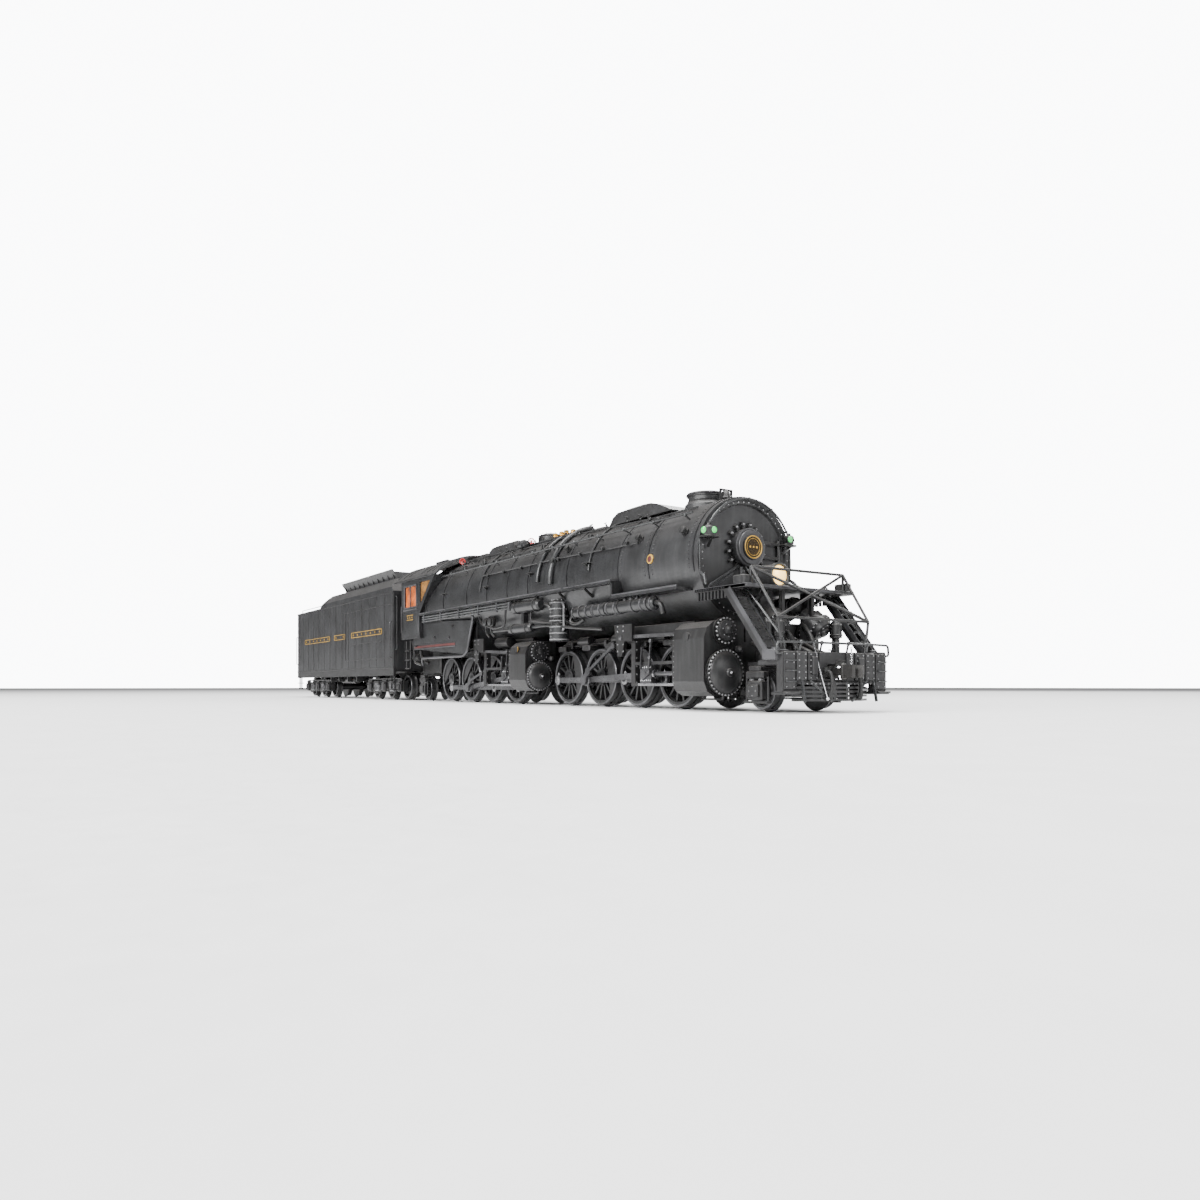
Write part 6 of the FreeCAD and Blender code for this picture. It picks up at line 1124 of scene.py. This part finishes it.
def tender_dressing():
    """Seams, rivets, lining, coal boards, ladders, steps, deck fittings and hoses."""
    with Piece("tender_seams", "tender", FRONT) as p:
        for side in SIDES:
            for x in steps_between(-347.4, -71.6, 16):
                p.block((x - 0.7, side * (TENDER_WALL - 0.2), 26.2),
                    (x + 0.7, side * (TENDER_WALL + 0.22), 86.4), 0.08)
            for low, high in (((-349.8, 85.2), (-69.2, 86.6)), ((-349.8, 25.4), (-69.2, 26.8)),
                              ((-190.0, 76.2), (-72.0, 77.2)), ((-190.6, 34.0), (-189.6, 77.2)),
                              ((-190.0, 33.4), (-72.0, 34.2)), ((-173.0, 47.4), (-96.0, 48.1))):
                p.block((low[0], side * (TENDER_WALL - 0.2), low[1]),
                    (high[0], side * (TENDER_WALL + 0.4), high[1]), 0.1)
        for y in (-22.0, 0.0, 22.0):
            p.block((-350.0, y - 0.6, 26.0), (-349.5, y + 0.6, 86.0), 0.08)
    with Piece("tender_rivets", "tender", TENDER) as p:
        for side in SIDES:
            way = (0, side, 0)
            for x in steps_between(-347.4, -71.6, 16):
                for dx in (-1.25, 1.25):
                    if -349.0 < x + dx < -70.0:
                        p.stud_row((x + dx, side * TENDER_WALL, 28.0), (x + dx, side * TENDER_WALL, 84.6),
                            24, way, 0.2, 0.18)
            p.stud_row((-347, side * (TENDER_WALL + 0.4), 85.9), (-71, side * (TENDER_WALL + 0.4), 85.9),
                100, way, 0.24, 0.2)
            p.stud_row((-347, side * (TENDER_WALL + 0.4), 26.1), (-71, side * (TENDER_WALL + 0.4), 26.1),
                100, way, 0.24, 0.2)
            p.stud_row((-188, side * (TENDER_WALL + 0.4), 76.7), (-74, side * (TENDER_WALL + 0.4), 76.7),
                44, way, 0.24, 0.2)
            p.stud_row((-348, side * TENDER_WALL, 21.0), (-71, side * TENDER_WALL, 21.0), 60, way, 0.26,
                0.24)
    with Piece("tender_gold_lining", "tender", GOLD) as p:
        for side in SIDES:
            y0, y1 = side * (TENDER_WALL + 0.15), side * (TENDER_WALL + 0.5)
            for x0, x1 in ((-320.5, -236.5), (-222.0, -190.0), (-172.0, -95.0)):
                for z in (53.4, 57.6):
                    p.block((x0, y0, z), (x1, y1, z + 0.55), 0.06)
                for x in (x0, x1 - 0.55):
                    p.block((x, y0, 53.4), (x + 0.55, y1, 58.15), 0.06)
                for x in steps_between(x0 + 5, x1 - 5, max(int((x1 - x0) / 11), 2)):
                    p.turned((x, y0, 55.8), (0, side, 0), [(0, 1.0), (0.3, 1.0), (0.36, 0.7)], 4)
    with Piece("tender_hood_rivets", "tender", TENDER) as p:
        for x in (-243, -222, -200, -178, -156, -134, -112, -91):
            for side in SIDES:
                p.stud_row((x, side * 31.6, 87.2), (x, side * 20.0, 98.9), 14, (0, side * 0.7, 0.7), 0.26,
                    0.35)
        for side in SIDES:
            p.stud_row((-268, side * 32.4, 86.9), (-72, side * 32.4, 86.9), 60, (0, side * 0.5, 0.8), 0.26,
                0.35)
            p.stud_row((-347, side * 31.6, 86.55), (-272, side * 31.6, 86.55), 26, Z_WAY, 0.3, 0.3)
    with Piece("coal_board_stakes", "tender", CHASSIS) as p:
        for side in SIDES:
            for x in steps_between(-220.0, -96.0, 11):
                p.bar((x, side * 21.8, 99.0), (x, side * 23.6, 104.6), 1.4, 0.9)
            for share in (0.2, 0.55, 0.9):
                y, z = side * (21.2 + 1.8 * share), 99.0 + 5.4 * share
                p.bar((-223.0, y, z), (-93.0, y, z), 0.6, 1.5)
    with Piece("tender_ladders", "tender", RAIL) as p:
        for side in SIDES:
            for z in steps_between(28.0, 84.0, 9):
                p.tube(bent([(-349.8, side * 17.0, z), (-352.4, side * 17.0, z), (-352.4, side * 25.0, z),
                             (-349.8, side * 25.0, z)], 1), 0.35, 6)
            for x in (-347.0, -72.0):
                p.tube(bent([(x, side * 33.0, 34.0), (x, side * 34.9, 34.0), (x, side * 34.9, 62.0),
                    (x, side * 33.0, 62.0)], 1),
                       0.35, 6)
            p.tube(bent([(-69.2, side * 31.0, 40.0), (-66.8, side * 31.0, 40.0), (-66.8, side * 31.0, 82.0),
                         (-69.2, side * 31.0, 82.0)], 1), 0.4, 6)
            p.tube(bent([(-349.8, side * 9.0, 60.0), (-351.8, side * 9.0, 60.0), (-351.8, side * 9.0, 76.0),
                         (-349.8, side * 9.0, 76.0)], 1), 0.35, 6)
    with Piece("tender_steps", "tender", CHASSIS) as p:
        for side in SIDES:
            for x in (-345.0, -75.0):
                for dx in (-3.4, 3.4):
                    p.block((x + dx - 0.4, side * 30.4, 8.0), (x + dx + 0.4, side * 31.6, 20.0), 0.12)
                for z in (8.0, 14.0):
                    p.block((x - 3.8, side * 28.6, z), (x + 3.8, side * 33.2, z + 0.7), 0.12)
            for x in (-240, -215, -190, -165):
                p.block((x - 0.8, side * 20.0, 15.0), (x + 0.8, side * 31.2, 19.8), 0.2)
            p.turned((-205.0, side * 23.0, 17.6), X_WAY, [(-19, 1.4), (-18, 4.0), (18, 4.0), (19, 1.4)], 20)
            p.tube(bent([(-268.0, side * 27.0, 17.0), (-226.0, side * 27.0, 17.4),
                (-224.0, side * 24.0, 17.6)], 2), 0.6)
    with Piece("tender_deck_fittings", "tender", TENDER) as p:
        for x in (-300.0, -324.0):
            p.turned((x, 0, 86.4), Z_WAY, [(0, 8.4), (1.4, 8.4), (1.6, 7.8), (2.4, 7.4), (2.6, 1.6),
                (3.6, 1.4)], 32)
            p.bar((x - 8.6, 0, 89.2), (x + 8.6, 0, 89.2), 1.4, 0.8)
        for side in SIDES:
            p.tube(bent([(-346, side * 29.0, 86.4), (-346, side * 29.0, 90.0), (-274, side * 29.0, 90.0),
                         (-274, side * 29.0, 86.4)], 1.5), 0.4, 6)
        p.turned((-348.4, 0, 82.0), (-1, 0, 0), [(0, 3.0), (1.4, 3.0), (1.6, 2.6), (3.0, 2.6), (3.2, 2.2)],
            20)
    with Piece("tender_rear_lamp", "tender", LAMP_GLASS) as p:
        p.turned((-351.4, 0, 82.0), (-1, 0, 0), [(0, 2.1), (0.5, 1.6), (0.7, 0)], 20)
    with Piece("tender_rear_hoses", "tender", HOSE) as p:
        for y in (-9.0, 9.0):
            p.tube(bent([(-349.6, y, 17.0), (-354.4, y, 16.4), (-356.0, y, 10.0), (-355.0, y * 1.1, 5.4)],
                3, 6), 0.85, 10)
    with Piece("tender_link_hoses", "tender", HOSE) as p:
        for y in (-10.0, -6.5, 7.0, 10.5):
            p.tube(bent([(-69.6, y, 17.5), (-66.0, y, 16.6), (-64.4, y, 10.5), (-60.6, y, 11.0)], 3, 6),
                0.8, 10)


def tender_truck_dressing():
    """Journal boxes and coil springs of both tender trucks."""
    for body, centre in TENDER_TRUCKS:
        with Piece(body + "_journal_boxes", body, FRONT) as p:
            for side in SIDES:
                for x in (centre - AXLE_PITCH, centre, centre + AXLE_PITCH):
                    p.block((x - 3.6, side * 23.9, 6.6), (x + 3.6, side * 26.2, 14.6), 0.6)
                    p.block((x - 2.7, side * 26.0, 7.6), (x + 2.7, side * 27.0, 12.6), 0.5)
                    p.bar((x - 3.6, side * 26.4, 13.6), (x + 3.6, side * 26.4, 13.6), 0.9, 1.0)
                    p.block((x - 4.8, side * 23.6, 14.8), (x + 4.8, side * 25.6, 16.6), 0.4)
                for x in (centre - AXLE_PITCH / 2, centre + AXLE_PITCH / 2):
                    p.block((x - 5.2, side * 23.8, 4.8), (x + 5.2, side * 26.4, 6.4), 0.4)
                    p.block((x - 5.2, side * 23.8, 13.0), (x + 5.2, side * 26.4, 14.8), 0.4)
                    p.bar((x - 11.0, side * 24.8, 9.0), (x - 5.0, side * 24.8, 5.4), 1.4, 1.4)
                    p.bar((x + 11.0, side * 24.8, 9.0), (x + 5.0, side * 24.8, 5.4), 1.4, 1.4)
                p.tube([(centre - 38.0, side * 24.6, 17.2), (centre + 38.0, side * 24.6, 17.2)], 0.6, 6)
                for x in (centre - 27.5, centre - 7.5, centre + 7.5, centre + 27.5):
                    p.block((x - 0.8, side * 15.0, 4.0), (x + 0.8, side * 18.0, 12.0), 0.3)
        with Piece(body + "_springs", body, BOLTS) as p:
            for side in SIDES:
                for x in (centre - AXLE_PITCH / 2, centre + AXLE_PITCH / 2):
                    for dx in (-3.1, 0.0, 3.1):
                        p.spring((x + dx, side * 25.1, 6.3), 6.8, 1.15, 0.3, 6)
                for x in (centre - AXLE_PITCH, centre, centre + AXLE_PITCH):
                    for dx in (-2.0, 2.0):
                        p.stud_row((x + dx, side * 27.0, 8.4), (x + dx, side * 27.0, 11.8), 2, (0, side, 0),
                            0.32, 0.3)


def coal_pile():
    """A heap of broken lumps on a dark bed, in place of the plain coal solid."""
    (x0, y0, z0), (x1, y1, z1) = millimetres("coal_load")
    middle_x, half_x = (x0 + x1) / 2, (x1 - x0) / 2

    def crest(x, y):
        """The height of the heap's surface."""
        fall = 1 - 0.55 * abs((x - middle_x) / half_x) ** 3 - 0.5 * abs(y / y1) ** 2.2
        return z0 + 6.0 + (z1 - z0 - 8.4) * max(fall, 0.0)

    with Piece("coal_heap", "tender", COAL) as p:
        columns = steps_between(x0 + 0.6, x1 - 0.6, 25)
        rows = steps_between(y0 + 0.4, y1 - 0.4, 13)
        p.skin([[(x, rows[0], z0 + 0.4)] + [(x, y, crest(x, y)) for y in rows] + [(x, rows[-1],
            z0 + 0.4)] for x in columns])
        for _ in range(620):
            x, y = dice.uniform(x0 + 2.4, x1 - 2.4), dice.uniform(y0 + 2.0, y1 - 2.0)
            size = dice.uniform(0.9, 2.1)
            lump = bmesh.ops.create_icosphere(p.mesh, subdivisions=1, radius=size * MM)["verts"]
            centre = Vector((x, y, min(crest(x, y) + size * 0.25, z1 - size * 1.2)))
            squash = Vector((dice.uniform(0.7, 1.2), dice.uniform(0.7, 1.2), dice.uniform(0.55, 1.0)))
            for vert in lump:
                vert.co = Vector(a * b for a, b in zip(vert.co, squash)) * dice.uniform(0.82,
                    1.15) + centre * MM
    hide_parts("coal_load")


def coupler_dressing():
    """Knuckle pins and lift links of the couplers, and the drawbar bolts."""
    for body, x, way in (("front_coupler", COUPLER_X, 1), ("rear_coupler", -COUPLER_X, -1)):
        with Piece(body + "_knuckle_parts", body, COUPLER) as p:
            p.turned((x + way * 2.0, -way * 2.4, 13.8), Z_WAY,
                [(0, 0.9), (0.5, 1.3), (6.0, 1.3), (6.6, 0.8)], 14)
            p.tube(bent([(x - way * 4.0, 0, 19.4), (x - way * 4.0, 0, 21.4), (x - way * 2.0, 3.4, 21.4)],
                1), 0.45, 6)
            p.block((x - way * 9.0, -2.6, 14.0), (x - way * 5.0, 2.6, 20.0), 0.5)
    with Piece("drawbar_bolts", "drawbar", BOLTS) as p:
        for x in (-52.0, -78.0):
            p.stud((x, 0, 16.3), Z_WAY, 1.6, 1.0)


# ---------------------------------------------------------------- studio


def area_light(name, place, target, width, height, power, colour=(1.0, 1.0, 1.0)):
    lamp = bpy.data.lights.new(name, "AREA")
    lamp.shape = "RECTANGLE"
    lamp.size, lamp.size_y = width, height
    lamp.energy = power
    lamp.color = colour
    holder = bpy.data.objects.new(name, lamp)
    holder.location = place
    holder.rotation_euler = (Vector(target) - Vector(place)).to_track_quat("-Z", "Y").to_euler()
    bpy.context.scene.collection.objects.link(holder)


def studio():
    """The pale floor, the white surround, four softboxes and the camera."""
    mesh = bmesh.new()
    bmesh.ops.create_grid(mesh, x_segments=8, y_segments=8, size=6.0)
    data = bpy.data.meshes.new("studio_floor")
    mesh.to_mesh(data)
    mesh.free()
    data.materials.append(FLOOR)
    floor = bpy.data.objects.new("studio_floor", data)
    floor.location.z = -0.0001
    bpy.context.scene.collection.objects.link(floor)

    world = bpy.data.worlds.new("studio")
    world.use_nodes = True
    sky = world.node_tree.nodes["Background"]
    sky.inputs["Color"].default_value = (0.97, 0.98, 1.0, 1.0)
    seen = world.node_tree.nodes.new("ShaderNodeLightPath").outputs["Is Camera Ray"]
    wire(world.node_tree, spread(world.node_tree, seen, 0.24, 11.0, 0.0, 1.0), sky.inputs["Strength"])
    bpy.context.scene.world = world

    area_light("key_softbox", (0.45, -1.5, 0.75), (0.05, 0, 0.06), 1.9, 0.40, 64.0)
    area_light("top_softbox", (0.2, -0.2, 1.5), (0, 0, 0.05), 1.7, 0.5, 58.0)
    area_light("front_softbox", (1.7, 0.35, 0.6), (0.25, 0, 0.06), 0.9, 0.6, 16.0)
    area_light("back_softbox", (-0.6, 1.4, 0.9), (0, 0, 0.06), 1.4, 0.6, 22.0)

    camera = bpy.data.cameras.new("photo_camera")
    camera.sensor_width = 36.0
    camera.lens = 26.67
    camera.shift_y = 0.0719
    camera.clip_start = 0.01
    camera.clip_end = 50.0
    holder = bpy.data.objects.new("photo_camera", camera)
    holder.location = (0.6056, -0.2843, 0.0110)
    holder.rotation_euler = (math.radians(90), 0, math.radians(56.49))
    bpy.context.scene.collection.objects.link(holder)
    bpy.context.scene.camera = holder


dress_cad_nodes()
boiler_dressing()
dome_dressing()
smokebox_front_dressing()
walkway_dressing()
ash_pan_dressing()
cab_dressing()
cylinder_dressing("low_pressure", "front_engine", front=313.6, low_ring=9.9, valve_ring=5.5, valve_z=35.3,
                  side_y=35.6, casing_back=289, casing_z=(6.6, 40), emblem_x=299.0)
cylinder_dressing("high_pressure", "root", front=150.1, low_ring=8.2, valve_ring=5.5, valve_z=31.4,
                  side_y=33.4, casing_back=126.6, casing_z=(8.3, 38), emblem_x=137.0)
platform_dressing()
deck_dressing()
pilot_dressing()
lead_truck_dressing()
wheel_dressing()
rod_dressing()
guide_dressing()
tender_dressing()
tender_truck_dressing()
coal_pile()
coupler_dressing()

with Piece("headlight_lens", "front_engine", LAMP_GLASS) as headlight:
    headlight.turned((319.6, 0, HEADLIGHT_Z), X_WAY,
        [(0, 4.6), (0.6, 4.6), (1.4, 3.9), (1.9, 2.4), (2.1, 0)], 32)
with Piece("headlight_rim", "front_engine", RAIL) as rim:
    rim.torus((320.8, 0, HEADLIGHT_Z), X_WAY, 5.1, 0.5, 40)
    rim.block((311.0, -3.4, 53.4), (319.0, 3.4, 55.0), 0.4)

studio()
